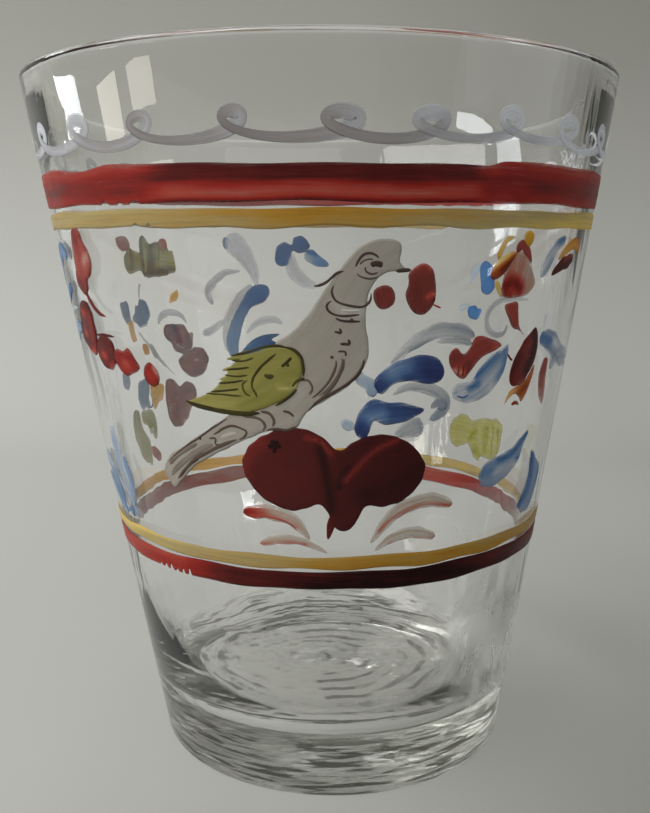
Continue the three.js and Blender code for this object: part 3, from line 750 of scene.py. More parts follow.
# %% A stroke as a closed pad
def stroke_shell(mark, middle, seed):
    """A grid along the stroke, domed across it, closed by a flat underside and two poles."""
    thin = mark["kind"] == "line"
    make = LINE_MAKE if thin else STROKE_MAKE
    spine = smooth_line(to_flat(mark["points"], middle), make["spacing"])
    share = np.linspace(0, 1, len(spine))
    run = share * np.linalg.norm(np.diff(spine, axis=0), axis=1).sum()
    tangent = np.gradient(spine, axis=0)
    tangent /= np.linalg.norm(tangent, axis=1)[:, None]
    normal = np.stack([-tangent[:, 1], tangent[:, 0]], -1)
    if thin:
        swell = np.minimum(1, np.minimum(share, 1 - share) * 5) ** 0.5
    else:
        swell = np.sqrt(np.maximum(0, np.sin(math.pi * share ** STROKE_SWELL)))
    half = mark["width"] / 2 * swell
    columns = np.sin(np.linspace(-math.pi / 2, math.pi / 2, make["columns"]))
    left = half * (1 + make["unsteady"] * wobble(run, seed + "left"))
    right = half * (1 + make["unsteady"] * wobble(run, seed + "right"))
    reach = np.where(columns[None] < 0, right[:, None], left[:, None]) * columns[None]
    flat = spine[:, None] + reach[..., None] * normal[:, None]
    body = np.sqrt(np.maximum(0, 1 - columns ** 4))[None] * swell[:, None]
    ridge = 1 if thin else 0.84 + 0.16 * np.sin(columns[None] * 7 + wobble(run, seed, 5)[:, None])
    base = mark["lay"] * LAY_RISE - SINK
    top = base + (mark["thick"] + SINK) * body * ridge
    inner = slice(1, -1)
    rows, wide = len(spine) - 2, len(columns)
    flat_top = flat[inner].reshape(-1, 2)
    flat_under = flat[inner, inner].reshape(-1, 2)
    points = np.vstack([
        np.column_stack([flat_top, top[inner].ravel()]),
        np.column_stack([flat_under, np.full(len(flat_under), base)]),
        [[*spine[0], base], [*spine[-1], base]],
    ])
    uv_grid = np.stack([run[:, None] + 0 * reach, reach], -1)
    uv = np.vstack([uv_grid[inner].reshape(-1, 2), uv_grid[inner, inner].reshape(-1, 2),
                    [[0, 0], [run[-1], 0]]])
    across = np.clip(uv[:, 1] / (mark["width"] / 2), -1, 1)
    travelled = uv[:, 0] / run[-1]
    tone = tone_of(mark, points[:, :2], travelled, across, middle)
    thinning = (1 - columns[None] ** 2) * (1 - mark["dry"] * share[:, None] ** 1.5)
    load = np.concatenate([
        thinning[inner].ravel(), thinning[inner, inner].ravel(), [1, 1 - mark["dry"]],
    ])

    def upper(i, j):
        return i * wide + j

    def under(i, j):
        if j in (0, wide - 1):
            return upper(i, j)
        return rows * wide + i * (wide - 2) + j - 1

    faces = []
    start, end = len(points) - 2, len(points) - 1
    for j in range(wide - 1):
        for i in range(rows - 1):
            faces.append((upper(i, j), upper(i + 1, j), upper(i + 1, j + 1), upper(i, j + 1)))
            faces.append((under(i, j + 1), under(i + 1, j + 1), under(i + 1, j), under(i, j)))
        faces.append((start, upper(0, j), upper(0, j + 1)))
        faces.append((start, under(0, j + 1), under(0, j)))
        faces.append((end, upper(rows - 1, j + 1), upper(rows - 1, j)))
        faces.append((end, under(rows - 1, j), under(rows - 1, j + 1)))
    return points, faces, uv, tone, load


# %% A patch as a closed pad
def inside(points, outline):
    """Which points lie inside a closed outline, by counting the sides they look across."""
    a, b = outline, np.roll(outline, -1, axis=0)
    x, y = points[:, :1], points[:, 1:]
    spans = (a[:, 1] > y) != (b[:, 1] > y)
    rise = np.where(b[:, 1] == a[:, 1], 1e-9, b[:, 1] - a[:, 1])
    return (spans & (x < a[:, 0] + (y - a[:, 1]) / rise * (b[:, 0] - a[:, 0]))).sum(1) % 2 == 1


def patch_shell(mark, middle, seed):
    """Fills an outline with a fine net of triangles, raises it, and closes it underneath."""
    outline = smooth_line(to_flat(mark["points"], middle), OUTLINE_SPACING, closed=True)
    ahead, behind = np.roll(outline, -1, axis=0), np.roll(outline, 1, axis=0)
    turning = (outline[:, 0] * ahead[:, 1] - ahead[:, 0] * outline[:, 1]).sum()
    tangent = (ahead - behind) / np.linalg.norm(ahead - behind, axis=1)[:, None]
    outward = np.stack([tangent[:, 1], -tangent[:, 0]], -1) * np.sign(turning)
    unsteady = wobble(np.arange(len(outline)) * OUTLINE_SPACING, seed)
    outline = outline + OUTLINE_WOBBLE * outward * unsteady[:, None]
    low, high = outline.min(0), outline.max(0)
    rows = np.arange(low[1], high[1], NET_SPACING * 0.87)
    grid = np.array([
        (x + (k % 2) * NET_SPACING / 2, y)
        for k, y in enumerate(rows) for x in np.arange(low[0], high[0], NET_SPACING)
    ])
    candidates = [(outline - outward * 0.1, 0.09), (outline - outward * 0.27, 0.25), (grid, 0.42)]
    filling = []
    for group, room in candidates:
        kept = group[inside(group, outline)]
        if len(kept):
            filling.append(kept[nearest_on(kept, outline, closed=True)[0] > room])
    everything = np.vstack([outline] + filling)
    flat, _, faces, *_ = delaunay_2d_cdt(
        [tuple(p) for p in everything], [], [list(range(len(outline)))], 1, 1e-5,
    )
    flat = np.array([tuple(p) for p in flat])
    depth = nearest_on(flat, outline, closed=True)[0]
    if mark["flow"] is None:
        centre = flat.mean(0)
        main = np.linalg.eigh(np.cov((flat - centre).T))[1][:, 1]
        main = main * np.sign(main[0])
        along = (flat - centre) @ main
        across = (flat - centre) @ np.array([-main[1], main[0]])
        along = along - along.min()
    else:
        flow = smooth_line(to_flat(mark["flow"], middle), TOUCH_SPACING)
        distance, along, side = nearest_on(flat, flow)
        across = distance * side
    share = along / along.max()
    half = np.abs(across).max()
    ridge = 1 + 0.07 * np.sin(across * 2.6 + wobble(along, seed, 6))
    base = mark["lay"] * LAY_RISE - SINK
    rounding = np.sqrt(1 - (1 - np.minimum(depth / EDGE_WIDTH, 1)) ** 2)
    top = base + (mark["thick"] + SINK) * rounding * ridge
    rim = depth < 1e-4
    under = np.arange(len(flat))
    under[~rim] = len(flat) + np.arange((~rim).sum())
    points = np.vstack([
        np.column_stack([flat, np.where(rim, base, top)]),
        np.column_stack([flat[~rim], np.full((~rim).sum(), base)]),
    ])
    uv = np.column_stack([along, across])
    uv = np.vstack([uv, uv[~rim]])
    tone = tone_of(mark, flat, share, across / half, middle)
    load = np.clip(depth / THIN_EDGE, 0, 1)
    shell = [tuple(f) for f in faces]
    shell += [tuple(int(under[v]) for v in reversed(f)) for f in faces]
    return points, shell, uv, np.append(tone, tone[~rim]), np.append(load, load[~rim])


# %% A motif from its marks
def make_motif(node, enamel, marks):
    """Joins a motif's marks into one piece, lays it on the wall and gives it its enamel."""
    angles = [point[0] for mark in marks for point in mark["points"]]
    middle = (min(angles) + max(angles)) / 2
    points, faces, uv, tone, load = [], [], [], [], []
    for number, mark in enumerate(marks):
        seed = f"{node} {number} "
        build = patch_shell if mark["kind"] == "patch" else stroke_shell
        shell = build(mark, middle, seed)
        first = sum(len(p) for p in points)
        points.append(shell[0])
        faces += [tuple(first + v for v in face) for face in shell[1]]
        uv.append(shell[2] + random.Random(seed).uniform(0, 40))
        tone.append(shell[3])
        load.append(shell[4])
    flat = np.vstack(points)
    angle = middle + np.degrees(flat[:, 0] / wall_radius(flat[:, 1]))
    placed = on_wall(angle, flat[:, 1], flat[:, 2])
    piece = add_mesh("painted_" + node, placed, faces, np.vstack(uv), np.concatenate(tone),
                     np.concatenate(load))
    return finish_piece(piece, node, enamel)


def finish_piece(piece, node, enamel):
    """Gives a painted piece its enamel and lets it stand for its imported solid."""
    material, slot = enamel
    piece.data.materials.clear()
    piece.data.materials.append(material)
    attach(piece, "root")
    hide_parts(node)
    return piece


print("marks can be patches, strokes and lines")

# %% [markdown]
# ## The finish of fired enamel
#
# Fired enamel is glossy where it flowed well and duller where it was thin or gritty. Two
# pigments on one brush don't mix fully, so the colour breaks into long streaks that follow the
# pull. All enamels share one node group for this: it takes the tone painted on the mesh, breaks
# it up along the brush, and puts out a new tone, a height for the ridges, a roughness, and how
# well the paint covers, because a thin lay lets the glass show between the hairs' traces.
# Each material then has its own ladder of pigments, from tone 0 to tone 1.

# %% The shared brushwork group
def make_brushwork():
    """The group that breaks a mark's tone and load up along the brush."""
    group, start, end = new_group("brushwork", {
        "Tone": 0.5, "Load": 1.0, "Brush": (0, 0, 0), "Place": (0, 0, 0), "Streaks": 0.2,
        "Mottle": 0.1, "Thin": 0.2, "Gloss Low": 0.22, "Gloss High": 0.5,
    }, ["Tone", "Height", "Roughness", "Cover"])
    given = start.outputs
    sums = partial(calc, group)
    hairs = noise(group, given["Brush"], (0.16, 3.4, 1), 4)
    pulls = noise(group, given["Brush"], (0.1, 0.9, 1), 2)
    clouds = noise(group, given["Place"], (420, 420, 420), 3)
    grit = noise(group, given["Place"], (4200, 4200, 4200), 2)
    lift = sums("ADD", sums("MULTIPLY", sums("SUBTRACT", hairs, 0.5), 1.5),
                sums("MULTIPLY", sums("SUBTRACT", pulls, 0.5), 1.6))
    streaked = sums("MULTIPLY_ADD", lift, given["Streaks"], given["Tone"])
    cloudy = sums("SUBTRACT", clouds, 0.5)
    toned = sums("MULTIPLY_ADD", cloudy, given["Mottle"], streaked, clamp=True)
    bare = sums("SUBTRACT", 1, given["Load"])
    patchy = sums("MULTIPLY_ADD", sums("SUBTRACT", hairs, 0.5), 2.4, bare)
    pale = sums("MULTIPLY", sums("SUBTRACT", toned, 0.5), 0.8)
    missing = sums("MULTIPLY", sums("MAXIMUM", sums("ADD", patchy, pale), 0, clamp=True),
                   given["Thin"])
    height = sums("ADD", sums("MULTIPLY", hairs, 0.75), sums("MULTIPLY", grit, 0.25))
    dull = sums("ADD", sums("MULTIPLY", clouds, 0.6), sums("MULTIPLY", grit, 0.4))
    gloss = between(group, dull, 0.3, 0.7, given["Gloss Low"], given["Gloss High"])
    for value, title in ((toned, "Tone"), (height, "Height"), (gloss, "Roughness"),
                         (sums("SUBTRACT", 1, missing), "Cover")):
        feed(group, value, end.inputs[title])
    return group


brushwork = make_brushwork()
print("the brushwork group has", len(brushwork.nodes), "nodes")

# %% An enamel from its ladder of pigments
RIDGE_DEPTH = 0.03


def enamel(name, slot, pigments, thin, streaks=0.16, mottle=0.12, gloss=(0.28, 0.55)):
    """A material whose colour runs through pigments, each (tone, colour), and its record slot."""
    material, tree, shader = new_material(name, Specular_IOR_Level=0.1)
    tone = add_node(tree, "ShaderNodeAttribute", attribute_name="tone").outputs["Fac"]
    load = add_node(tree, "ShaderNodeAttribute", attribute_name="load").outputs["Fac"]
    brush = add_node(tree, "ShaderNodeUVMap", uv_map="brush").outputs["UV"]
    place = add_node(tree, "ShaderNodeTexCoord").outputs["Object"]
    work = add_node(tree, "ShaderNodeGroup", node_tree=brushwork, Tone=tone, Load=load,
                    Brush=brush, Place=place, Streaks=streaks, Mottle=mottle, Thin=thin,
                    Gloss_Low=gloss[0], Gloss_High=gloss[1]).outputs
    ramp = add_node(tree, "ShaderNodeValToRGB", Fac=work["Tone"])
    steps = ramp.color_ramp.elements
    while len(steps) < len(pigments):
        steps.new(0.5)
    for step, (at, colour) in zip(steps, pigments):
        step.position = at
        step.color = srgb(*colour)
    ridges = bump(tree, work["Height"], 0.8, RIDGE_DEPTH * MM)
    for value, title in ((ramp.outputs["Color"], "Base Color"), (work["Roughness"], "Roughness"),
                         (work["Cover"], "Alpha"), (ridges, "Normal")):
        feed(tree, value, shader.inputs[title])
    return material, slot


# %% The painter's enamels
band_red = enamel("band_red", "red_enamel", [
    (0.0, (30, 8, 8)), (0.3, (84, 26, 24)), (0.55, (138, 34, 28)), (0.78, (160, 66, 54)),
    (1.0, (170, 118, 106)),
], streaks=0.2, thin=0.4)
band_yellow = enamel("band_yellow", "yellow_enamel", [
    (0.0, (132, 84, 18)), (0.3, (160, 120, 44)), (0.65, (164, 147, 100)),
    (0.84, (212, 186, 98)), (1.0, (255, 190, 30)),
], streaks=0.2, thin=0.45)
berry_red = enamel("berry_red", "red_enamel", [
    (0.0, (62, 28, 26)), (0.35, (110, 50, 45)), (0.6, (138, 56, 49)), (0.8, (168, 70, 58)),
    (1.0, (206, 128, 110)),
], thin=0.3)
heart_maroon = enamel("heart_maroon", "maroon_enamel", [
    (0.0, (36, 18, 18)), (0.3, (62, 25, 24)), (0.55, (84, 31, 29)), (0.8, (112, 40, 36)),
    (1.0, (146, 82, 72)),
], streaks=0.07, mottle=0.06, thin=0.05, gloss=(0.14, 0.3))
bird_grey = enamel("bird_grey", "grey_enamel", [
    (0.0, (48, 32, 28)), (0.25, (92, 79, 72)), (0.5, (152, 146, 136)), (0.8, (172, 169, 161)),
    (1.0, (214, 212, 206)),
], streaks=0.1, mottle=0.1, thin=0.25)
feather_grey = enamel("feather_grey", "grey_enamel", [
    (0.0, (96, 112, 142)), (0.3, (136, 146, 160)), (0.6, (164, 168, 172)), (1.0, (200, 202, 204)),
], streaks=0.3, thin=0.75)
wing_olive = enamel("wing_olive", "olive_enamel", [
    (0.0, (34, 28, 16)), (0.3, (90, 86, 44)), (0.55, (126, 122, 62)), (0.8, (154, 148, 84)),
    (1.0, (196, 190, 134)),
], streaks=0.16, thin=0.2)
leaf_olive = enamel("leaf_olive", "olive_enamel", [
    (0.0, (50, 44, 8)), (0.35, (100, 98, 14)), (0.65, (150, 148, 44)), (1.0, (172, 168, 96)),
], streaks=0.2, mottle=0.6, thin=0.5)
leaf_blue = enamel("leaf_blue", "blue_enamel", [
    (0.0, (44, 54, 96)), (0.3, (56, 78, 122)), (0.6, (86, 114, 154)), (0.8, (126, 152, 180)),
    (1.0, (180, 192, 202)),
], streaks=0.24, thin=0.5)
# A brighter, more saturated copy of the blue: painted light for the back motifs, which are seen
# from behind in shade.
back_blue_painted_light = enamel("back_blue_painted_light", "blue_enamel", [
    (0.0, (18, 56, 106)), (0.3, (36, 92, 152)), (0.6, (76, 130, 180)), (1.0, (180, 192, 202)),
], streaks=0.24, thin=0.5)
leaf_slate = enamel("leaf_slate", "pale_blue_enamel", [
    (0.0, (48, 78, 132)), (0.3, (84, 118, 160)), (0.6, (130, 150, 174)), (0.8, (164, 174, 188)),
    (1.0, (200, 206, 212)),
], streaks=0.34, thin=0.65)
flower_mauve = enamel("flower_mauve", "mauve_enamel", [
    (0.0, (84, 20, 18)), (0.35, (130, 46, 40)), (0.65, (156, 80, 70)), (1.0, (186, 158, 144)),
], mottle=0.9, thin=0.5)
flower_pink = enamel("flower_pink", "pink_enamel", [
    (0.0, (88, 18, 18)), (0.25, (146, 44, 34)), (0.5, (170, 92, 76)), (0.75, (176, 146, 130)),
    (1.0, (178, 172, 158)),
], streaks=0.3, thin=0.6)
petal_orange = enamel("petal_orange", "orange_enamel", [
    (0.0, (64, 16, 18)), (0.3, (126, 46, 20)), (0.6, (182, 100, 26)), (0.8, (206, 150, 44)),
    (1.0, (214, 184, 92)),
], streaks=0.24, thin=0.4)
petal_yellow = enamel("petal_yellow", "yellow_enamel", [
    (0.0, (166, 100, 20)), (0.5, (204, 158, 40)), (1.0, (214, 190, 104)),
], streaks=0.24, thin=0.5)
# A brighter copy of the yellow: painted light for the back motifs, which are seen from behind in
# shade.
back_yellow_painted_light = enamel("back_yellow_painted_light", "yellow_enamel", [
    (0.0, (230, 120, 4)), (0.5, (255, 190, 20)), (1.0, (255, 218, 100)),
], streaks=0.24, thin=0.5)
scroll_white = enamel("scroll_white", "white_enamel", [
    (0.0, (124, 119, 118)), (0.4, (148, 145, 145)), (0.75, (184, 186, 192)),
    (1.0, (218, 222, 230)),
], streaks=0.2, thin=0.6)
print("there are", len([m for m in bpy.data.materials if m.use_nodes]), "finishes so far")

# %% [markdown]
# ## The four bands
#
# The bands were drawn with the glass turning on a banding wheel: the brush stays still and the
# colour runs round. So their streaks run all the way round, their edges wander slowly, and there
# is a step where the pull began and ended. Each band is a closed ring whose two edges follow
# their own uneven lines. Small notches in an edge stand for enamel that has chipped off.

# %% Rings round the wall
BAND_STEPS = 1000
BAND_WANDER = 0.27
BAND_COLUMNS = np.sin(np.linspace(-math.pi / 2, math.pi / 2, 13))


def around(angle, stops):
    """A value that runs smoothly through stops, each (angle, value), and closes on itself."""
    given = sorted((at % 360, value) for at, value in stops)
    at = np.array([given[-1][0] - 360] + [g[0] for g in given] + [given[0][0] + 360])
    value = np.array([given[-1][1]] + [g[1] for g in given] + [given[0][1]])
    turned = np.mod(angle, 360)
    place = np.clip(np.searchsorted(at, turned, side="right") - 1, 0, len(at) - 2)
    share = (turned - at[place]) / (at[place + 1] - at[place])
    share = share * share * (3 - 2 * share)
    return value[place] + (value[place + 1] - value[place]) * share


def notches(angle, chips):
    """How deep an edge is bitten at each angle by chips, each (angle, width, depth)."""
    deep = 0 * angle
    for at, width, depth in chips:
        away = (angle - at + 180) % 360 - 180
        deep = np.maximum(deep, depth * np.exp(-(away / width * 2) ** 4))
    return deep


def make_band(node, enamel, height, width, seed, tone, low=(), high=(), chips=()):
    """A painted ring. low and high shift its edges, chips bite its lower edge."""
    angle = np.linspace(-180, 180, BAND_STEPS, endpoint=False)
    turned = np.radians(angle)
    bottom = height + BAND_WANDER * waves(turned * 3, 0, seed) + notches(angle, chips)
    top = height + width + BAND_WANDER * waves(turned * 3, 0, seed + 1)
    if low:
        bottom = bottom + around(angle, low)
    if high:
        top = top + around(angle, high)
    share = (BAND_COLUMNS[None] + 1) / 2
    at_height = bottom[:, None] + (top - bottom)[:, None] * share
    body = np.sqrt(np.maximum(0, 1 - BAND_COLUMNS ** 6))[None]
    ridge = 0.86 + 0.14 * np.sin(share * 19 + 2 * waves(turned, 0, seed + 2)[:, None])
    lift = -SINK + (STROKE_THICKNESS + SINK) * body * ridge
    angles = np.repeat(angle[:, None], len(BAND_COLUMNS), 1)
    tones = np.clip(tone(angles, np.broadcast_to(share, angles.shape)), 0, 1)
    loads = np.clip(5 * (1 - np.abs(BAND_COLUMNS))[None] + 0 * angles, 0, 1)
    run = turned[:, None] * wall_radius(height) + 0 * share
    uv = np.stack([run, at_height - height], -1)
    inner = slice(1, -1)
    points = np.vstack([
        on_wall(angles, at_height, lift).reshape(-1, 3),
        on_wall(angles[:, inner], at_height[:, inner], -SINK).reshape(-1, 3),
    ])
    wide = len(BAND_COLUMNS)

    def under(i, j):
        if j in (0, wide - 1):
            return i * wide + j
        return BAND_STEPS * wide + i * (wide - 2) + j - 1

    faces = []
    for i in range(BAND_STEPS):
        k = (i + 1) % BAND_STEPS
        for j in range(wide - 1):
            faces.append((i * wide + j, k * wide + j, k * wide + j + 1, i * wide + j + 1))
            faces.append((under(i, j + 1), under(k, j + 1), under(k, j), under(i, j)))
    piece = add_mesh(
        "painted_" + node, points, faces,
        np.vstack([uv.reshape(-1, 2), uv[:, inner].reshape(-1, 2)]),
        np.concatenate([tones.ravel(), tones[:, inner].ravel()]),
        np.concatenate([loads.ravel(), loads[:, inner].ravel()]),
    )
    return finish_piece(piece, node, enamel)


# %% The lower bands
LOWER_RED = 30.3
LOWER_RED_WIDTH = 2.4
LOWER_YELLOW = 33.0
LOWER_YELLOW_WIDTH = 1.7


def lower_red_tone_and_light(angle, share):
    """Painted light and shade: bright on the left and at the back, near black in front and on the
    right.
    """
    along = around(angle, [(-70, 0.72), (-40, 0.62), (-20, 0.22), (6, 0), (28, 0), (45, 0.14),
                           (70, 0.3), (110, 0.4), (150, 0.8), (200, 0.85), (250, 0.8)])
    return along + 0.1 * (share - 0.5)


# Painted light and shade: paler on the left and at the back, darker in front.
def lower_yellow_tone_and_light(angle, share):
    along = around(angle, [(-60, 0.7), (-20, 0.5), (5, 0.24), (25, 0.26), (60, 0.36), (110, 0.6),
                           (160, 0.68), (192, 1), (250, 0.95), (285, 0.7)])
    return along + 0.12 * share


comb = [(-46 + 2.1 * i, 0.8, 0.35 + 0.25 * (i % 3)) for i in range(6)]
make_band("lower_red_band", band_red, LOWER_RED, LOWER_RED_WIDTH, 21, chips=comb,
          tone=lower_red_tone_and_light)
make_band("lower_yellow_band", band_yellow, LOWER_YELLOW, LOWER_YELLOW_WIDTH, 24,
          low=[(-60, 0.1), (0, -0.1), (60, 0.1), (180, 0)], tone=lower_yellow_tone_and_light)

# %% The upper bands
UPPER_YELLOW = 72.8
UPPER_YELLOW_WIDTH = 2.0
UPPER_RED = 75.4
UPPER_RED_WIDTH = 4.1
BRUSH_STEP = 30.0


# Painted light and shade: paler to the right, darker in front, and darker still towards its top
# there.
def upper_yellow_tone_and_light(angle, share):
    along = around(angle, [(-60, 0.62), (-20, 0.56), (0, 0.44), (22, 0.66), (45, 0.84), (70, 0.88),
                           (100, 0.7), (180, 0.5)])
    return along - 0.25 * share * around(angle, [(-40, 0), (0, 1), (40, 1), (90, 0.2), (200, 0.5)])


def upper_red_tone_and_light(angle, share):
    """Bright red at both sides and darker in front, painted light and shade; in front it is dark
    above with dusty rose streaks below.
    """
    front = around(angle, [(-34, 0), (-24, 1), (24, 1), (BRUSH_STEP, 0.1), (40, 0), (150, 0),
                           (180, 0.7), (210, 0)])
    sides = 0.56 + 0.16 * np.cos(share * 5 + 1)
    middle = np.interp(share, [0, 0.1, 0.2, 0.45, 0.6, 1], [0.3, 0.55, 0.84, 0.64, 0.26, 0.22])
    return sides + (middle - sides) * front


def behind(rise):
    """An edge that rises at the back of the glass, where the wheel ran a little out of true."""
    return [(0, 0), (70, 0), (120, 0.8 * rise), (180, rise), (240, 0.8 * rise), (290, 0)]


make_band("upper_yellow_band", band_yellow, UPPER_YELLOW, UPPER_YELLOW_WIDTH, 27, low=behind(1.1),
          high=behind(0.9), chips=[(-34, 1.2, 0.3), (-31, 0.8, 0.4), (96, 2, 0.5)],
          tone=upper_yellow_tone_and_light)
make_band("upper_red_band", band_red, UPPER_RED, UPPER_RED_WIDTH, 30, low=behind(2.4),
          high=[(-60, 0.2), (-46, -0.35), (-38, 0.1), (0, -0.1), (28, -0.15), (32, 0.4), (70, 0.2),
                (180, 0.9)],
          chips=[(-41, 1.6, 0.4), (-37, 1, 0.3), (-33.5, 2, 0.35)], tone=upper_red_tone_and_light)
print("four bands are drawn")

# %% [markdown]
# ## The looped scroll
#
# Under the lip runs one white line that swags and loops all the way round. It was pulled freely
# as the glass turned, so no two loops are alike. A loop line is a rule: a point that circles
# while it moves on. Geometry Nodes can follow that rule. A flat grid is rolled into a thin,
# flattened tube along the line, and smooth noise that closes on itself varies the loops. The
# tree's inputs are the scroll's real sizes in millimetres.

# %% The scroll's tree
SCROLL = {
    "Loops": 24, "Swing": 3.5, "Rise": 1.36, "Height": 83.2, "Stroke": 1.34, "Thickness": 0.05,
    "Unevenness": 1.0, "Seed": 4.0,
}
SCROLL_STEPS_IN_LOOP = 44
SCROLL_SIDES = 12
SIDE_PUSH, FRONT_PUSH, EVEN_PUSH = math.radians(1.8), math.radians(2.3), math.radians(0.9)


def scroll_tree(material):
    """The tree that rolls a flat grid into the looped line."""
    tree = bpy.data.node_groups.new("looped_scroll", "GeometryNodeTree")
    new_socket = tree.interface.new_socket
    new_socket(name="Geometry", in_out="INPUT", socket_type="NodeSocketGeometry")
    for title, value in SCROLL.items():
        socket = new_socket(name=title, in_out="INPUT", socket_type="NodeSocketFloat")
        socket.default_value = value
    new_socket(name="Geometry", in_out="OUTPUT", socket_type="NodeSocketGeometry")
    given = tree.nodes.new("NodeGroupInput").outputs
    end = tree.nodes.new("NodeGroupOutput")
    sums = partial(calc, tree)

    grid = add_node(tree, "GeometryNodeMeshGrid", Size_X=1, Size_Y=1,
                    Vertices_X=SCROLL["Loops"] * SCROLL_STEPS_IN_LOOP + 1,
                    Vertices_Y=SCROLL_SIDES + 1)
    place = add_node(tree, "GeometryNodeInputPosition").outputs[0]
    parts = add_node(tree, "ShaderNodeSeparateXYZ", Vector=place).outputs
    turn = sums("MULTIPLY", sums("ADD", parts["X"], 0.5), 2 * math.pi)
    phase = sums("MULTIPLY", turn, given["Loops"])
    section = sums("MULTIPLY", sums("ADD", parts["Y"], 0.5), 2 * math.pi)

    def vary(pitch, shift):
        """Smooth noise round the ring, from about -1 to 1, that closes on itself."""
        vector = add_node(tree, "ShaderNodeCombineXYZ",
                          X=sums("MULTIPLY", sums("COSINE", turn), pitch),
                          Y=sums("MULTIPLY", sums("SINE", turn), pitch),
                          Z=sums("ADD", given["Seed"], shift))
        cloud = add_node(tree, "ShaderNodeTexNoise", Vector=vector.outputs[0], Scale=1, Detail=0)
        centred = sums("MULTIPLY", sums("SUBTRACT", cloud.outputs["Fac"], 0.5), 4)
        return sums("MULTIPLY", centred, given["Unevenness"])

    # How wide and how high the loops are here, and the way the line moves on.
    swing = sums("MULTIPLY", given["Swing"], sums("MULTIPLY_ADD", vary(4.5, 0), 0.22, 1))
    rise = sums("MULTIPLY", given["Rise"], sums("MULTIPLY_ADD", vary(4.5, 7), 0.16, 1))
    height = sums("MULTIPLY_ADD", vary(2.5, 13), 0.35, given["Height"])
    slope = (RIM_RADIUS - BASE_RADIUS) / LIP_HEIGHT
    ring = sums("MULTIPLY_ADD", given["Height"], slope, BASE_RADIUS)
    advance = sums("DIVIDE", ring, given["Loops"])
    sine, cosine = sums("SINE", phase), sums("COSINE", phase)
    tangent_x = sums("SUBTRACT", advance, sums("MULTIPLY", swing, cosine))
    tangent_y = sums("MULTIPLY", rise, sums("MULTIPLY", sine, -1))
    size = sums("SQRT", sums("ADD", sums("MULTIPLY", tangent_x, tangent_x),
                             sums("MULTIPLY", tangent_y, tangent_y)))
    # How broad the line is here, and how far across it this point lies.
    thick_side = sums("MULTIPLY_ADD", sums("SINE", sums("ADD", phase, 2.2)), 0.22, 1)
    load = sums("MULTIPLY_ADD", vary(7, 21), 0.24, thick_side)
    half = sums("MULTIPLY", sums("MULTIPLY", given["Stroke"], 0.5), load)
    across = sums("MULTIPLY", sums("COSINE", section), half)
    # The angle and height on the wall. The push puts the loops where the photograph has them.
    along = sums("SUBTRACT", sums("MULTIPLY", turn, ring), sums("MULTIPLY", swing, sine))
    moved = sums("MULTIPLY", across, sums("DIVIDE", tangent_y, size))
    even = sums("DIVIDE", sums("SUBTRACT", along, moved), ring)
    front = sums("POWER", sums("MAXIMUM", sums("COSINE", turn), 0), 18)
    pushed = sums("ADD", sums("MULTIPLY", sums("SINE", turn), SIDE_PUSH),
                  sums("MULTIPLY_ADD", front, FRONT_PUSH, EVEN_PUSH))
    angle = sums("ADD", even, pushed)
    level = sums("ADD", sums("MULTIPLY_ADD", rise, cosine, height),
                 sums("MULTIPLY", across, sums("DIVIDE", tangent_x, size)))
    # How far the point stands off the wall, and its place in metres.
    dome = sums("MULTIPLY", sums("ADD", sums("SINE", section), 1), 0.5)
    over = sums("MULTIPLY", sine, 0.02)
    domed = sums("MULTIPLY", sums("POWER", dome, 0.35), sums("ADD", given["Thickness"], SINK))
    lift = sums("SUBTRACT", sums("ADD", domed, over), SINK)
    radius = sums("ADD", lift, sums("MULTIPLY_ADD", level, slope, BASE_RADIUS))
    shift = sums("MULTIPLY_ADD", level, -BASE_SHIFT / HEIGHT, BASE_SHIFT)
    x = sums("ADD", sums("MULTIPLY", radius, sums("SINE", angle)), shift)
    y = sums("MULTIPLY", sums("MULTIPLY", radius, sums("COSINE", angle)), -1)
    target = add_node(tree, "ShaderNodeCombineXYZ", X=sums("MULTIPLY", x, MM),
                      Y=sums("MULTIPLY", y, MM), Z=sums("MULTIPLY", level, MM))

    def store(before, name, data_type, domain, value):
        node = add_node(tree, "GeometryNodeStoreNamedAttribute", data_type=data_type,
                        domain=domain, Name=name, Geometry=before)
        feed(tree, value, next(s for s in node.inputs if s.name == "Value" and s.enabled))
        return node.outputs["Geometry"]

    # The tone, with painted light and shade: grey in front, paler to the right and at the back;
    # thin paint is greyer. And the load, which the enamel reads.
    brush = add_node(tree, "ShaderNodeCombineXYZ", X=along, Y=across)
    painted_light_right = sums("MULTIPLY", sums("MAXIMUM", sums("SINE", turn), 0), 0.95)
    painted_light_round = sums("ADD", painted_light_right, sums("MULTIPLY_ADD", sums("COSINE", turn), -0.9, 1.24))
    tone = sums("ADD", painted_light_round, sums("MULTIPLY", sums("SUBTRACT", load, 1), 0.9))
    shape = store(grid.outputs["Mesh"], "tone", "FLOAT", "POINT", tone)
    shape = store(shape, "load", "FLOAT", "POINT", sums("POWER", sums("SINE", section), 2))
    shape = store(shape, "brush", "FLOAT2", "CORNER", brush.outputs[0])
    for kind, settings in (
        ("SetPosition", {"Position": target.outputs[0]}),
        ("MergeByDistance", {"Distance": 0.001 * MM}),
        ("SetShadeSmooth", {}),
        ("RealizeInstances", {}),
        ("SetMaterial", {"Material": material}),
    ):
        step = add_node(tree, "GeometryNode" + kind, Geometry=shape, **settings)
        shape = step.outputs["Geometry"]
    feed(tree, shape, end.inputs[0])
    return tree


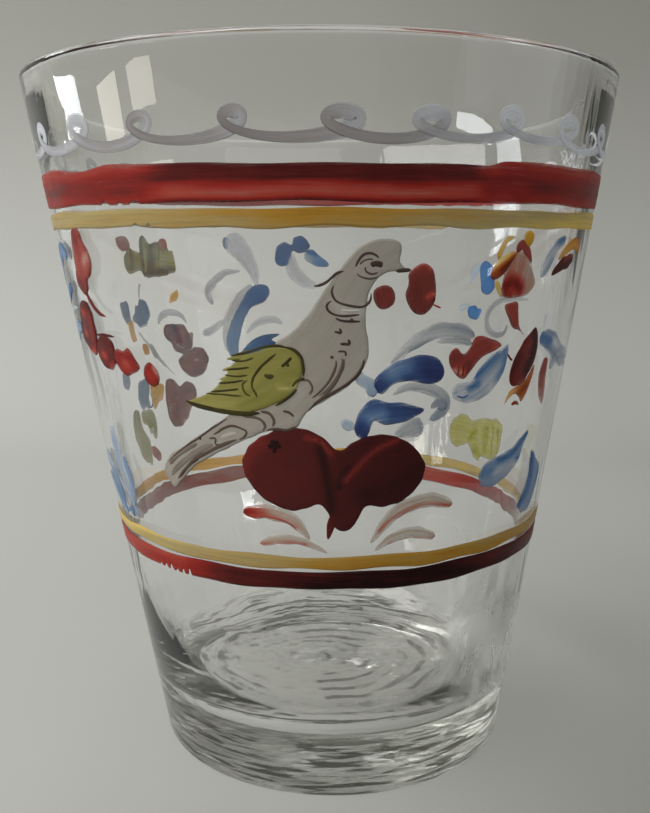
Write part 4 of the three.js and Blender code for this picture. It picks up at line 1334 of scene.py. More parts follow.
# %% Run a tree and keep its result as a plain mesh
def run_tree(name, tree, values):
    """Runs a Geometry Nodes tree and returns what it makes as a plain mesh object."""
    holder = bpy.data.objects.new(name + "_holder", bpy.data.meshes.new(name + "_holder"))
    scene.collection.objects.link(holder)
    modifier = holder.modifiers.new("nodes", "NODES")
    modifier.node_group = tree
    for item in tree.interface.items_tree:
        if item.item_type == "SOCKET" and item.in_out == "INPUT" and item.name in values:
            modifier[item.identifier] = values[item.name]
    holder.update_tag()
    bpy.context.view_layer.update()
    evaluated = holder.evaluated_get(bpy.context.evaluated_depsgraph_get())
    mesh = bpy.data.meshes.new_from_object(evaluated)
    holder.modifiers.clear()
    mesh.name = name
    made = bpy.data.objects.new(name, mesh)
    scene.collection.objects.link(made)
    bpy.data.objects.remove(holder)
    return made


scroll = run_tree("painted_white_scroll", scroll_tree(scroll_white[0]),
                  {name: float(value) for name, value in SCROLL.items()})
finish_piece(scroll, "white_scroll", scroll_white)
print("the scroll has", len(scroll.data.polygons), "faces and", SCROLL["Loops"], "loops")

# %% [markdown]
# ## The heart and its leaves
#
# The heart is the heaviest lay of colour: a maroon so thick that it looks black where it pooled.
# Its two lobes were pulled one after the other. Painted shade darkens the seam where they meet and
# the lower right lobe, painted highlights run along the ridges beside the seam, and the tone is
# painted lighter at the left edge and darker to the right, as the light falls from the left. The
# four leaves under it are single pulls of a brush that held grey on one side and red on the other,
# so the red fades as the brush ran dry.

# %% The heart
make_motif("heart", heart_maroon, [
    patch([(2.5, 13), (6, 14.2), (10.5, 14.8), (15, 14.2), (18.5, 12.7), (20.7, 10.5), (19.5, 8.3),
           (16, 6.5), (12, 5.9), (8, 6), (6.5, 4.6), (4.5, 3.1), (1.6, 3.3), (0, 5.3), (-1.5, 6.3),
           (-7, 5.5), (-11, 6.1), (-14.5, 7.4), (-17.5, 10.6), (-16, 13), (-12.5, 14.6),
           (-8, 15.6), (-4, 15.5), (-1, 14.7)],
          # Painted light and shade: the tone falls from left to right; the soft touches are
          # painted light at the left edge, painted shade in the seam and a valley, painted
          # highlights on the ridges, and painted shade low on the right lobe.
          tone=0.52, end=0.26, flow=[(-19, 9), (-9, 11.5), (2, 8), (12, 11), (21, 11.5)],
          soft=[([(-17.6, 10.2), (-16, 12.2), (-13.4, 13.6)], 1.3, 0.74),
                ([(-1.2, 13.4), (-0.4, 11), (0.3, 8), (0.9, 5.6)], 0.5, 0.02),
                ([(-4, 14.5), (-1.2, 14.1), (0.8, 12.6)], 0.34, 0.86),
                ([(2.2, 8.6), (3.4, 9.8), (4.6, 10.9)], 0.42, 0.04),
                ([(3.6, 9.3), (6, 10.9), (10, 13), (14, 14)], 0.36, 0.8),
                ([(8, 7.4), (14, 8), (18.5, 10)], 1.5, 0.14), ([(3, 5), (4.6, 4.2)], 1.2, 0.34),
                ([(-12, 10), (-6, 9)], 2.2, 0.5)]),
    stroke([(1.5, 5.4), (0.7, 3.9), (-0.1, 1.9)], 0.95, tone=0.45, end=0.6),
    line([(-11.8, 13.2), (-10.6, 13.6), (-9.2, 14.1)], 0.7, 0.02),
    line([(-11, 14.3), (-10.2, 13.4), (-10.6, 12.4)], 0.6, 0.0),
    line([(-9, 13.1), (-10, 13.8), (-11.4, 13.9)], 0.55, 0.04),
])

# %% The four leaves under the heart
make_motif("heart_leaf_upper_left", flower_pink, [
    stroke([(-18.5, 4.9), (-13, 5.2), (-7.5, 4.3), (-4, 1.9)], 1.9, tone=0.8, end=0.9, side=0.1,
           soft=[([(-18.6, 5), (-15.6, 4.4)], 1.8, 0.14),
                 ([(-17, 4.4), (-12, 4.6), (-7, 3.4)], 0.3, 0.42)]),
])
make_motif("heart_leaf_lower_left", flower_pink, [
    stroke([(-15.3, 1.1), (-10, 1.8), (-5, 1.5), (-0.3, 0.2)], 1.2, tone=0.8, end=0.95,
           soft=[([(-15, 0.9), (-9, 1.4), (-5, 1.2)], 0.28, 0.46)]),
])
make_motif("heart_leaf_upper_right", flower_pink, [
    stroke([(28.3, 5.3), (22, 6.3), (14.5, 5), (9.2, 1.3)], 1.9, tone=0.9, end=0.95,
           soft=[([(28, 5.2), (20, 5.7), (13.5, 4.1), (11, 2.8)], 0.3, 0.5)]),
])
make_motif("heart_leaf_lower_right", flower_pink, [
    stroke([(24.6, 1.4), (19, 2.3), (14, 1.8), (10.2, 0.3)], 1.5, tone=0.88, end=0.95,
           soft=[([(24, 1.2), (18, 1.5), (13, 1)], 0.28, 0.56)]),
])
print("the heart and its leaves are painted")

# %% [markdown]
# ## The bird
#
# The bird was laid in with one flat beige-grey, pulled from the head to the tail, and drawn over
# with a pointed brush in dark brown once it was dry. The lines give the eye, the collar, the
# feathers and the long tail. They are thin lays of their own, so they stand on the grey.

# %% The bird's body
make_motif("bird_body", bird_grey, [
    patch([(14.2, 33.4), (13.2, 34.2), (13.2, 36.2), (10, 36.6), (6.5, 35.8), (3, 33.5),
           (-1.5, 29.6), (-5, 27), (-9, 25.2), (-13, 22), (-15, 18.8), (-19, 17), (-25, 14.7),
           (-32, 12.2), (-35.6, 10.9), (-37.8, 9), (-37, 7.8), (-35.4, 6.9), (-33.2, 7.9),
           (-30.5, 9.3), (-27.5, 10.6), (-21, 12.6), (-15.2, 14.3), (-11, 15.2), (-6.3, 15.4),
           (-4.6, 16.6), (-3, 17.8), (0.9, 19.2), (4.6, 20.7), (6.6, 22), (8.1, 24.4), (7.4, 28),
           (8.2, 31.3), (10.5, 32.9)],
          tone=0.5, end=0.56, flow=[(-37, 8), (-22, 15), (-8, 20.5), (1, 26), (6, 32), (13, 35.4)],
          soft=[([(3, 29), (5, 28.8), (7, 28.9)], 0.5, 0.86),
                ([(1.6, 30), (4.4, 29), (7, 29.2)], 0.35, 0.74),
                ([(-6.5, 18.4), (-4.6, 19.6)], 0.6, 0.66)]),
    line([(15.3, 33.3), (14.2, 33.3), (12.4, 33.2)], 0.48, 0.13),
    line([(3.8, 33.3), (2.2, 32.9), (0.5, 32), (-0.6, 31.7), (-1.7, 31.6)], 0.31, 0.15),
    line([(5.4, 33.4), (5.9, 34.2), (6.8, 34.9), (8, 35.1), (9.2, 34.8), (9.8, 34.2)], 0.33, 0.12),
    line([(6.1, 33.8), (6.9, 34.3), (8, 34.5), (8.8, 34.3)], 0.22, 0.19),
    line([(7.9, 33.7), (9, 34), (10.4, 33.8)], 0.81, 0.09),
    line([(7.4, 33.9), (7.2, 33.3), (8.2, 32.9), (9.6, 33.1)], 0.25, 0.15),
    line([(5.5, 33.2), (6.2, 32.7), (8, 32.4), (9.6, 32.6)], 0.22, 0.17),
    line([(2, 32), (1.5, 31), (2.1, 30.1), (4, 29.6), (6.8, 29.4), (8.1, 30), (8.3, 30.9)], 0.33,
         0.12),
    line([(1.9, 30.2), (0.7, 29.7), (0.6, 29.2), (1.4, 28.7), (3.4, 28.4), (7.2, 28.6)], 0.31,
         0.13),
    line([(1.7, 28.4), (2.6, 28), (4.4, 27.8), (7, 27.8)], 0.33, 0.11),
    line([(4.7, 28.15), (5.2, 27.7)], 0.39, 0.11),
    line([(2.8, 29.1), (4.4, 28.95), (6.6, 29)], 0.31, 0.9),
    line([(1.6, 26.7), (2.5, 26.6), (3, 26.5), (2.7, 27.2)], 0.33, 0.13),
    line([(2.6, 25.3), (3.7, 25.3), (4.5, 25.3), (4.2, 26)], 0.41, 0.11),
    line([(0.9, 23.9), (1.8, 23.8)], 0.39, 0.13),
    line([(2.2, 24.4), (2.9, 24.5), (3.8, 24.4), (3.8, 23.8)], 0.31, 0.15),
    line([(1.4, 23.9), (1.9, 23.7), (2.1, 23.1), (0.9, 21.3), (-1, 19.9), (-2.9, 19)], 0.32, 0.24),
    line([(3.6, 24.1), (3.2, 22.6), (1.7, 20.8), (-0.6, 19.2), (-2.9, 18.3)], 0.46, 0.26),
    line([(2.5, 24.2), (3.2, 23.5), (2.4, 21.9), (0.5, 20.3), (-1.6, 19.2)], 0.26, 0.3),
    line([(7.4, 24.6), (6.8, 22.6), (4.6, 21), (2.8, 20.3), (0.6, 19.5), (-1.6, 18.7),
          (-3.4, 17.6)], 0.42, 0.14),
    line([(-4.6, 21.2), (-3.1, 21.2), (-2.4, 20.3), (-3.2, 19.4)], 0.34, 0.26),
    line([(-8.4, 17.6), (-7.1, 17.5), (-5.9, 16.9)], 0.34, 0.14),
    line([(-11.7, 15.3), (-9.7, 15.5), (-7.4, 15.4), (-5.5, 16)], 0.4, 0.2),
    line([(-12.9, 17.5), (-10.9, 17.3), (-10, 16.4), (-10.5, 15.6)], 0.4, 0.24),
    line([(-16.6, 16.8), (-14.2, 16.8), (-12.4, 16.4), (-11.9, 15.7), (-12.7, 15.1)], 0.4, 0.26),
    line([(-24, 14.2), (-22.4, 14.6), (-20.8, 15.2), (-18.9, 15.6), (-17, 15.4), (-15.8, 15),
          (-16.5, 14.3), (-18.2, 13.9)], 0.34, 0.2),
    line([(-21.6, 14), (-19.4, 14.5), (-17.6, 14.8)], 0.66, 0.72),
    line([(-24.6, 13.8), (-22.8, 13.9), (-22.9, 13.2), (-21.6, 13.3)], 0.28, 0.22),
    line([(-26.7, 13.8), (-26, 13.7)], 0.46, 0.04),
    line([(-18.3, 16.9), (-22.2, 15.5), (-26.4, 13.9), (-30.1, 12.6), (-34.9, 10.7), (-37.1, 9.4)],
         0.28, 0.14),
    line([(-26.3, 13.3), (-29.8, 12.3), (-33.9, 10.8), (-36.4, 9.4)], 0.7, 0.31),
    line([(-22.7, 13.3), (-26.5, 12.4), (-30.7, 10.9), (-34.5, 9.2), (-36.3, 8.1)], 0.9, 0.35),
    line([(-16.7, 14.3), (-20.9, 13.3), (-24.1, 12.4), (-28.5, 11), (-32.3, 9.1), (-34.9, 7.6)],
         0.56, 0.22),
    line([(-27, 11.3), (-30, 10.3), (-33.6, 8.2)], 0.4, 0.08),
])

# %% The wing
make_motif("bird_wing", wing_olive, [
    patch([(-4, 22.8), (-5.2, 24.4), (-8.5, 25), (-13, 24.3), (-17, 23), (-20, 20.8),
           (-22.8, 19.4), (-28.4, 18), (-23, 17.3), (-15, 17.3), (-9.5, 18.4), (-5.4, 20.2)],
          tone=0.66, end=0.6, flow=[(-28, 18), (-16, 19.5), (-8, 22), (-4, 22)], lay=1,
          soft=[([(-15, 18.4), (-9, 19), (-6.4, 20.4)], 1.1, 0.56),
                ([(-8.6, 20.4), (-6.6, 20.2)], 0.3, 0.9), ([(-5.6, 20.5), (-5, 20.6)], 0.3, 0.95),
                ([(-24, 17.9), (-18, 18)], 0.5, 0.72)]),
    stroke([(-12.6, 23.9), (-15.6, 23.7), (-18.4, 23.4)], 0.62, 0.66, lay=1),
    stroke([(-13.4, 22.6), (-17, 22.4), (-19.6, 22.1)], 0.66, 0.7, lay=1),
    stroke([(-14, 21.6), (-17.6, 21.4), (-20.4, 21)], 0.62, 0.74, lay=1),
    line([(-28.6, 18.2), (-25, 17.7), (-20, 17.3), (-15.5, 17.2), (-12.6, 17.3)], 0.66, 0.07,
         lay=2),
    line([(-27.4, 17.8), (-23, 17.5), (-19, 17.4)], 0.47, 0.1, lay=2),
    line([(-17.6, 23.8), (-13.6, 24.4), (-10.6, 25), (-8.2, 25.1), (-6.4, 24.8)], 0.28, 0.11,
         lay=2),
    line([(-7.4, 25), (-5.4, 24.6), (-4.2, 23.8), (-3.9, 22.6), (-4, 21.6)], 0.34, 0.09, lay=2),
    line([(-3.7, 21.5), (-4.8, 21.3), (-5.6, 20.9), (-6.2, 20.3)], 0.36, 0.09, lay=2),
    line([(-5.2, 20.2), (-7, 19.2), (-9.6, 18.2)], 0.28, 0.1, lay=2),
    line([(-8.3, 24.4), (-10, 23.6), (-12, 22.5), (-13.4, 21.4), (-14.3, 20.2)], 0.33, 0.12,
         lay=2),
    line([(-13.2, 21.6), (-13.8, 20.4), (-13.2, 19.6), (-12.9, 19)], 0.31, 0.13, lay=2),
    line([(-14.3, 21.2), (-15.6, 20.6), (-15.2, 19.6), (-14, 19.2)], 0.28, 0.13, lay=2),
    line([(-8.1, 22.6), (-7, 23.2), (-5.8, 23.9)], 0.39, 0.1, lay=2),
    line([(-7.2, 22.9), (-6.3, 23)], 0.47, 0.11, lay=2),
    line([(-11.4, 21.9), (-10.2, 21.5), (-9.4, 21.9)], 0.58, 0.1, lay=2),
    line([(-10.6, 21.2), (-10, 22)], 0.47, 0.12, lay=2),
    line([(-17.4, 23.3), (-15, 23.3), (-12.6, 23.8)], 0.28, 0.12, lay=2),
    line([(-18.6, 22.2), (-16, 22.4), (-13.6, 22.6)], 0.3, 0.1, lay=2),
    line([(-19.2, 21.6), (-16.6, 21.5), (-14.2, 21.7)], 0.25, 0.13, lay=2),
    line([(-20.6, 20.6), (-17.6, 20.8), (-15, 21.1)], 0.28, 0.12, lay=2),
    line([(-22.6, 19.5), (-19, 19.8), (-15.8, 20.1)], 0.33, 0.1, lay=2),
    line([(-23.6, 19.3), (-19.6, 19.3), (-15.6, 19.2)], 0.27, 0.13, lay=2),
])

# %% The berries at the beak
make_motif("berry_small", berry_red, [
    patch([(10.6, 31.7), (8.9, 31.2), (8.7, 30.2), (9.6, 29.3), (10.8, 29.1), (12.3, 29.6),
           (12.6, 30.6), (12, 31.5)],
          tone=0.36, end=0.42, soft=[([(9.4, 30.6), (9.8, 29.8)], 0.5, 0.26)]),
])
make_motif("berry_large", berry_red, [
    patch([(14.8, 32.7), (15.4, 33.3), (17.5, 34), (19.3, 33.4), (19.9, 32.4), (20.2, 30.8),
           (19.8, 29.4), (18.2, 28.4), (16.4, 28.6), (15, 29.6), (14.5, 30.7), (14.9, 31.6)],
          tone=0.44, end=0.36,
          soft=[([(15.4, 33.5), (17.6, 33.9), (19, 33.4)], 0.4, 0.74),
                ([(16, 31), (18, 29.6)], 1.2, 0.3),
                ([(18.6, 30.3), (19.2, 30.6), (20.3, 30.6)], 0.34, 0.92)]),
    patch([(19.2, 30.3), (19.7, 30.5), (20.1, 30.1), (19.9, 29.7), (19.4, 29.8)], tone=0.3, lay=1),
    line([(19.8, 29.5), (20.6, 29.3), (21.5, 29.1)], 0.22, 0.85, lay=0),
])
print("the bird and its berries are painted")

# %% [markdown]
# ## The spray on the right
#
# These leaves and flowers were made with one loaded brush each: it was dipped in one colour,
# its corner touched into another, and pressed down. Where the brush landed the colour is deep,
# and towards the tip the two pigments part into streaks. So most marks here are patches with a
# strong change of tone along their pull, and a few soft touches.

# %% The blue and grey feathers
make_motif("blue_feather_upper", leaf_blue, [
    patch([(9, 20.6), (10.2, 21.9), (12.5, 22.9), (15.5, 23.6), (19, 23.9), (22, 23.2), (23.3, 22),
           (22.6, 20.9), (20.6, 20.4), (16.6, 20.9), (13, 20.6), (10.6, 19.5)],
          tone=0.5, flow=[(9, 20.2), (13, 21.7), (18, 22.4), (23.4, 21.9)], side=0.1,
          soft=[([(9.4, 20.4), (10.6, 20.8)], 1.2, 0.06),
                ([(19.4, 22.4), (22.2, 21.8)], 2.1, 0.02), ([(12.8, 22), (14.6, 22)], 1.4, 0.66),
                ([(15.4, 21.2), (18, 21.2)], 0.7, 0.28)]),
])
make_motif("blue_feather_lower", leaf_blue, [
    patch([(8, 18.6), (9.4, 19), (11.5, 18.6), (14, 18.5), (17, 18.1), (19.6, 17.5), (18, 16.8),
           (14.5, 16), (11, 16), (9.4, 16.4), (8.4, 15), (7.4, 14.3), (6.2, 14.6), (5.5, 15.8),
           (6.4, 17.4)],
          tone=0.45, flow=[(5.6, 14.6), (8.6, 17), (13, 17.4), (20, 17.4)],
          soft=[([(6.4, 15.6), (7.4, 14.9)], 1.1, 0.04), ([(8.6, 18.4), (10, 18.4)], 0.7, 0.3),
                ([(12, 18), (16, 17.8), (19, 17.4)], 0.5, 0.14),
                ([(12.6, 16.8), (17, 16.9)], 0.4, 0.3), ([(8.4, 16.8), (11, 17.2)], 0.7, 0.72)]),
    patch([(2.9, 16.3), (3.7, 16.7), (5.2, 16.4), (5.6, 15.6), (4.4, 15.3), (3.2, 15.6)],
          tone=0.95),
    stroke([(9.2, 19.2), (8.4, 20.6), (6.6, 21.4), (5.6, 22.6)], 1.5, tone=0.86, end=0.96),
])
make_motif("grey_feather_upper", feather_grey, [
    stroke([(29.4, 25.7), (25, 26.5), (20.4, 26.4), (16.4, 25.2), (12.2, 23)], 1.9, tone=0.66,
           end=0.74, side=0.08,
           soft=[([(28, 25), (20, 25.4), (16, 24.4)], 0.3, 0.28),
                 ([(29, 26), (24, 26.9)], 0.25, 0.4)]),
    stroke([(28.9, 24.9), (25, 25.4), (21, 25.3)], 1, tone=0.5, end=0.7),
])
make_motif("grey_feather_middle", feather_grey, [
    stroke([(20.8, 16.2), (23.6, 17.2), (23.6, 18.6), (20, 20), (15.6, 20.2), (12.8, 19.4)], 1.6,
           tone=0.5, end=0.74,
           soft=[([(22.4, 16.6), (24, 18)], 0.6, 0.3), ([(22, 19.2), (17, 19.9)], 0.3, 0.4)]),
    stroke([(24.2, 17.4), (22.4, 18.2), (20.8, 17.6)], 1.3, tone=0.35, end=0.5, lay=1),
])
make_motif("grey_feather_lower", feather_grey, [
    patch([(13.6, 14.6), (14.4, 15.6), (16.4, 16.4), (18.8, 16.5), (19.7, 15.4), (18.9, 14.4),
           (16.8, 14.2)],
          tone=0.7, end=0.6, soft=[([(18.6, 16), (19.4, 15)], 0.4, 0.4)]),
])

# %% The red flower and the slate leaf
make_motif("red_flower", berry_red, [
    patch([(24.1, 23.9), (25.4, 24.5), (27.2, 23.7), (28.4, 24.3), (29.4, 25.6), (31.4, 25.7),
           (34, 25.2), (36.6, 24.4), (33, 23.5), (30.6, 22.7), (29.2, 21.6), (28, 20.8),
           (26.4, 21.1), (24.6, 22.2)],
          tone=0.56, flow=[(25, 21.4), (28.6, 22.8), (36.4, 24.6)], side=0.1,
          soft=[([(25.6, 21.8), (27.4, 21.6)], 0.55, 0.98),
                ([(28.6, 21.4), (28.4, 22.6)], 0.4, 0.3),
                ([(34.2, 24.5), (35.2, 24.4)], 0.3, 0.84),
                ([(24.6, 23.4), (26.4, 23.6)], 0.6, 0.4)]),
    line([(27.4, 22.8), (27.3, 21.8), (27.4, 20.9)], 0.22, 0.2),
    line([(26.3, 22.6), (26.2, 21.9), (26.3, 21.2)], 0.2, 0.25),
    line([(38.4, 23.4), (39.4, 22.8), (40.4, 22.4)], 0.3, 0.35, lay=0),
])
make_motif("slate_leaf", leaf_slate, [
    patch([(38.3, 24.6), (36.6, 24), (34, 23.3), (31.4, 21.9), (29.4, 20.4), (27.6, 20.3),
           (26.2, 20.3), (25.4, 19.5), (25.9, 18.6), (27.8, 18), (30.6, 17.9), (34, 18.5),
           (36.8, 19.9), (38.4, 22)],
          tone=0.8, flow=[(26, 19.4), (31, 20.4), (38.4, 24.4)],
          soft=[([(30.6, 21.2), (33.4, 22.4), (36, 23.4)], 0.75, 0.26),
                ([(37.6, 23.8), (37.8, 22), (36.6, 20.4)], 0.55, 0.3),
                ([(27, 19.4), (28.8, 19.2)], 0.42, 1.0), ([(30.4, 19.3), (31, 19.1)], 0.3, 0.95),
                ([(28.6, 18.4), (33, 18.9)], 0.5, 0.72), ([(29.4, 19.6), (31.4, 20)], 0.4, 0.2)]),
    line([(26.4, 18.9), (28, 18.6), (29.4, 18.9)], 0.24, 0.12),
])

# %% The tulip
make_motif("tulip", flower_pink, [
    patch([(35, 30.2), (34.4, 31.4), (34.8, 32.8), (36, 34.4), (37.6, 35.2), (39.6, 35),
           (41.2, 34.2), (42.4, 33), (43.8, 31.6), (42.8, 30.6), (41, 30.1), (38, 29.9)],
          tone=0.66, flow=[(37.4, 30), (38.6, 32.6), (39, 35.2)], side=-0.05,
          soft=[([(35.6, 31.4), (37.6, 31.8), (38.8, 31.2)], 1.1, 0.04),
                ([(35, 30.2), (36.4, 30.4)], 0.6, 0.16), ([(40, 33), (41.6, 32.4)], 1.1, 0.72),
                ([(37.4, 33.6), (38.6, 33.4)], 0.7, 0.6)]),
])
make_motif("tulip_left_petal", petal_orange, [
    patch([(31.3, 32.4), (31.6, 33.2), (32.8, 34.3), (34.2, 34.9), (37.4, 35.2), (36.4, 34.3),
           (35, 33.1), (33.8, 32.3), (32.4, 32.1)],
          tone=0.5, flow=[(31.2, 32.6), (34, 33.6), (37.6, 35)], side=0.3, lay=1,
          soft=[([(34, 33.2), (36, 34.2)], 0.6, 0.14), ([(32.4, 34), (35, 34.9)], 0.4, 0.95)]),
    stroke([(32.8, 34.3), (33.4, 35.6), (34.4, 36.5), (36.3, 36.9)], 0.8, tone=0.92, end=0.98),
    stroke([(32.8, 32), (33.9, 30.9), (34.8, 30)], 0.75, tone=0.96, end=0.9),
])
make_motif("tulip_right_petal", petal_yellow, [
    stroke([(40.1, 37.6), (39.8, 36.6), (39, 35.2)], 1.7, tone=0.5, end=0.3, lay=1),
])
make_motif("tulip_tip", berry_red, [
    patch([(35.9, 29.1), (37.4, 29.4), (39.4, 29.4), (39.9, 28.2), (40.6, 26.8), (42.8, 25.4),
           (41, 26), (39.2, 26.4), (37.8, 27.2)], tone=0.66, end=0.62,
          flow=[(37, 29), (39.6, 27.4), (42.6, 25.5)]),
    stroke([(37, 35.1), (38.2, 36), (39.6, 35.4), (41.6, 33.9)], 1.2, tone=0.56, end=0.64, lay=1),
])
make_motif("tulip_curl", feather_grey, [
    stroke([(37.3, 26.9), (36.6, 25.9), (34.6, 25.7), (32.4, 26.4), (31.7, 27.8), (32.6, 29),
            (34.6, 29.7), (38, 29.8), (42.8, 29.6)], 0.85, tone=0.72, end=0.88),
])

# %% The leaves past the tulip
make_motif("maroon_leaf", heart_maroon, [
    patch([(46.7, 26.2), (45.6, 25.9), (43.2, 24.7), (41.2, 23), (40.1, 21.2), (40.4, 19.8),
           (41.8, 19.2), (44.4, 19.4), (46.8, 20.8), (48.3, 22.6), (48.1, 24.6)],
          tone=0.72, flow=[(41, 19.4), (44, 22), (46.6, 26)], side=-0.3,
          soft=[([(46.6, 25.4), (46.8, 23), (45.6, 21)], 0.9, 0.12),
                ([(43.4, 23.6), (45, 24.4)], 0.7, 0.78),
                ([(45, 22.9), (45.3, 22.7)], 0.25, 0.95)]),
])
make_motif("maroon_leaf_tail", petal_orange, [
    patch([(48.4, 21.6), (47.9, 19.6), (46.8, 18), (45.3, 17), (44.4, 17.7), (42.4, 18.2),
           (40.6, 17.6), (39.6, 16.8), (40.8, 18.6), (43.4, 19.2), (46.2, 20.1)],
          tone=0.5, flow=[(48.4, 20.8), (45.6, 18.6), (40, 17.4)], end=0.66,
          soft=[([(46, 19), (44.6, 18.6)], 0.7, 0.36), ([(41.2, 17.9), (40, 17.2)], 0.5, 0.8)]),
    stroke([(42, 16.9), (43.4, 17.1), (44.8, 16.7)], 0.5, tone=0.3, end=0.5),
])
make_motif("pale_leaf_high", leaf_slate, [
    patch([(52.8, 36.9), (51, 36.9), (48.6, 36.3), (46.2, 35), (45, 33.4), (45.3, 32.2),
           (47, 32.3), (48.6, 33.6), (50.4, 35.1), (52.6, 36.2)],
          tone=1, end=0.9, flow=[(45, 32.4), (48, 34.8), (52.8, 36.6)],
          soft=[([(50, 36.6), (52.4, 36.6)], 0.8, 0.2), ([(46.6, 32.4), (48.6, 34)], 0.5, 0.5)]),
])
make_motif("orange_leaf", petal_orange, [
    stroke([(62, 35.3), (58, 36.1), (54, 35.3), (51, 34.2)], 1.5, tone=0.66, end=0.8),
    stroke([(58.2, 34.4), (55, 33.9), (52, 33.4), (49, 32.4)], 1.7, tone=0.04, end=0.02, lay=1,
           soft=[([(57.4, 34.9), (53.6, 34.4)], 0.35, 0.3)]),
])
make_motif("blue_leaf_right", leaf_slate, [
    stroke([(48.8, 24.9), (52.6, 24.5), (57, 23.4), (63, 21.6), (70, 20.4)], 2.8, tone=0.5,
           end=0.9,
           soft=[([(49.6, 24.9), (53.6, 24.2)], 0.7, 0.24), ([(56, 24), (68, 21.6)], 0.6, 1)]),
    stroke([(56, 20.6), (60, 22.2), (66, 22), (72, 21.2)], 2, tone=0.8, end=0.95),
])
make_motif("mauve_petal_right", flower_mauve, [
    stroke([(53.6, 22.2), (53, 20.2), (53.8, 18.2), (55.6, 16)], 2.2, tone=0.62, end=0.9,
           soft=[([(53.6, 21.8), (54, 20.6)], 0.7, 0.4)]),
])
make_motif("blue_leaf_low_right", leaf_slate, [
    patch([(34.7, 8.4), (35.6, 9.6), (38, 10.3), (41, 10.7), (44.4, 11.2), (48, 12.4), (50.8, 13),
           (49.4, 11.2), (48.2, 9.4), (45.4, 8), (42, 7), (38.4, 6.6), (35.8, 7.1)],
          tone=0.6, flow=[(35, 8), (41, 9), (50.6, 12.8)],
          soft=[([(40, 10), (44, 10.3), (50, 12.7)], 0.42, 0.12),
                ([(48.6, 9.5), (46.6, 9.6)], 0.35, 0.1), ([(36, 8.8), (38, 8.9)], 0.8, 0.34),
                ([(40, 8.4), (46, 9.2)], 0.6, 0.86)]),
])
make_motif("blue_leaf_far_right", leaf_slate, [
    patch([(54.2, 10), (58.5, 8.4), (61.8, 7), (61.6, 4.4), (58, 1.5), (54, 1.6), (51.6, 2.9),
           (53.6, 4.6), (54.8, 7)],
          tone=0.56, flow=[(53, 2), (56, 5), (58, 9)],
          soft=[([(54.6, 9.4), (56, 7), (55.4, 4.4), (52.6, 3)], 0.7, 0.12),
                ([(60.6, 7.2), (61.2, 4), (58, 1.8)], 0.5, 0.3)]),
])
print("the right spray is painted")

# %% [markdown]
# ## The spray on the left
#
# A branch of four red berries runs towards the bird's tail. They were dabbed one into the next
# while wet, so they share one lay, with a lighter spot on each where the brush was lifted.

# %% The berries and the dull red leaf
make_motif("dull_red_leaf", flower_mauve, [
    patch([(-53.8, 38), (-55.6, 37.6), (-57.2, 35.6), (-57.8, 33.2), (-58.8, 31.4), (-57.4, 30.3),
           (-55, 29.8), (-53.4, 30.6), (-52.8, 31.6), (-50.6, 32.6), (-49.6, 34), (-50.2, 35.4),
           (-51.4, 36.2), (-52.2, 37.6)],
          tone=0.4, flow=[(-56, 30), (-54.6, 34), (-53.6, 38)], side=0.12,
          soft=[([(-52.6, 34), (-51, 34.6)], 0.9, 0.85), ([(-54.6, 36.6), (-55, 37.4)], 0.7, 0.25),
                ([(-57.6, 31.6), (-55.6, 30.6)], 0.8, 0.16)]),
    stroke([(-55.6, 30.6), (-53.6, 29), (-51, 27.8), (-48.3, 27.4)], 0.75, tone=0.1, end=0.16),
])
make_motif("red_berries", band_red, [
    patch([(-58.5, 29.1), (-61, 28.2), (-62.6, 26.4), (-63.6, 25), (-62.4, 23.6), (-60.4, 22.8),
           (-58, 22.2), (-55.8, 22.6), (-54.6, 24), (-54.2, 26.4), (-54.8, 28.2), (-56.4, 29)],
          tone=0.27,
          soft=[([(-59.6, 27.6), (-58.4, 27.4)], 0.5, 0.78),
                ([(-60.6, 25), (-59.8, 24.8)], 0.5, 0.8), ([(-59, 22.4), (-56.4, 22.6)], 0.6, 0.8),
                ([(-56, 27), (-56, 24.6)], 0.9, 0.44)]),
    patch([(-51.4, 25.2), (-53.6, 24.6), (-55.2, 23.4), (-55, 21.8), (-53, 20.9), (-50.6, 20.7),
           (-48.4, 21.4), (-47.2, 22.6), (-47.8, 24.2), (-49.4, 25)],
          tone=0.31,
          soft=[([(-52.6, 22.6), (-51.8, 22.4)], 0.5, 0.78),
                ([(-50, 21), (-48.4, 21.4)], 0.4, 0.7)]),
    patch([(-42.6, 23.8), (-44.6, 23.4), (-46.8, 23.6), (-48, 22.4), (-46.8, 21), (-44.4, 20.3),
           (-42, 20.8), (-39.8, 21.6), (-41, 22.8)],
          tone=0.5, soft=[([(-44.6, 22), (-43.4, 21.8)], 0.5, 0.82)]),
    stroke([(-60, 24.4), (-52, 22.9), (-42, 21.9)], 2, tone=0.39),
    line([(-54.6, 24.9), (-50.6, 25.1), (-46.6, 25)], 0.34, 0.2, lay=0),
])
make_motif("red_berry_end", band_red, [
    patch([(-36.6, 22.4), (-38.4, 21.8), (-39, 20.6), (-37.8, 19.6), (-36, 19.5), (-34.6, 20.4),
           (-34.8, 21.6), (-35.4, 22)],
          tone=0.45,
          soft=[([(-35.6, 21.8), (-35, 21.2)], 0.4, 0.96),
                ([(-37.4, 21), (-36.6, 20.6)], 0.6, 0.62)]),
])

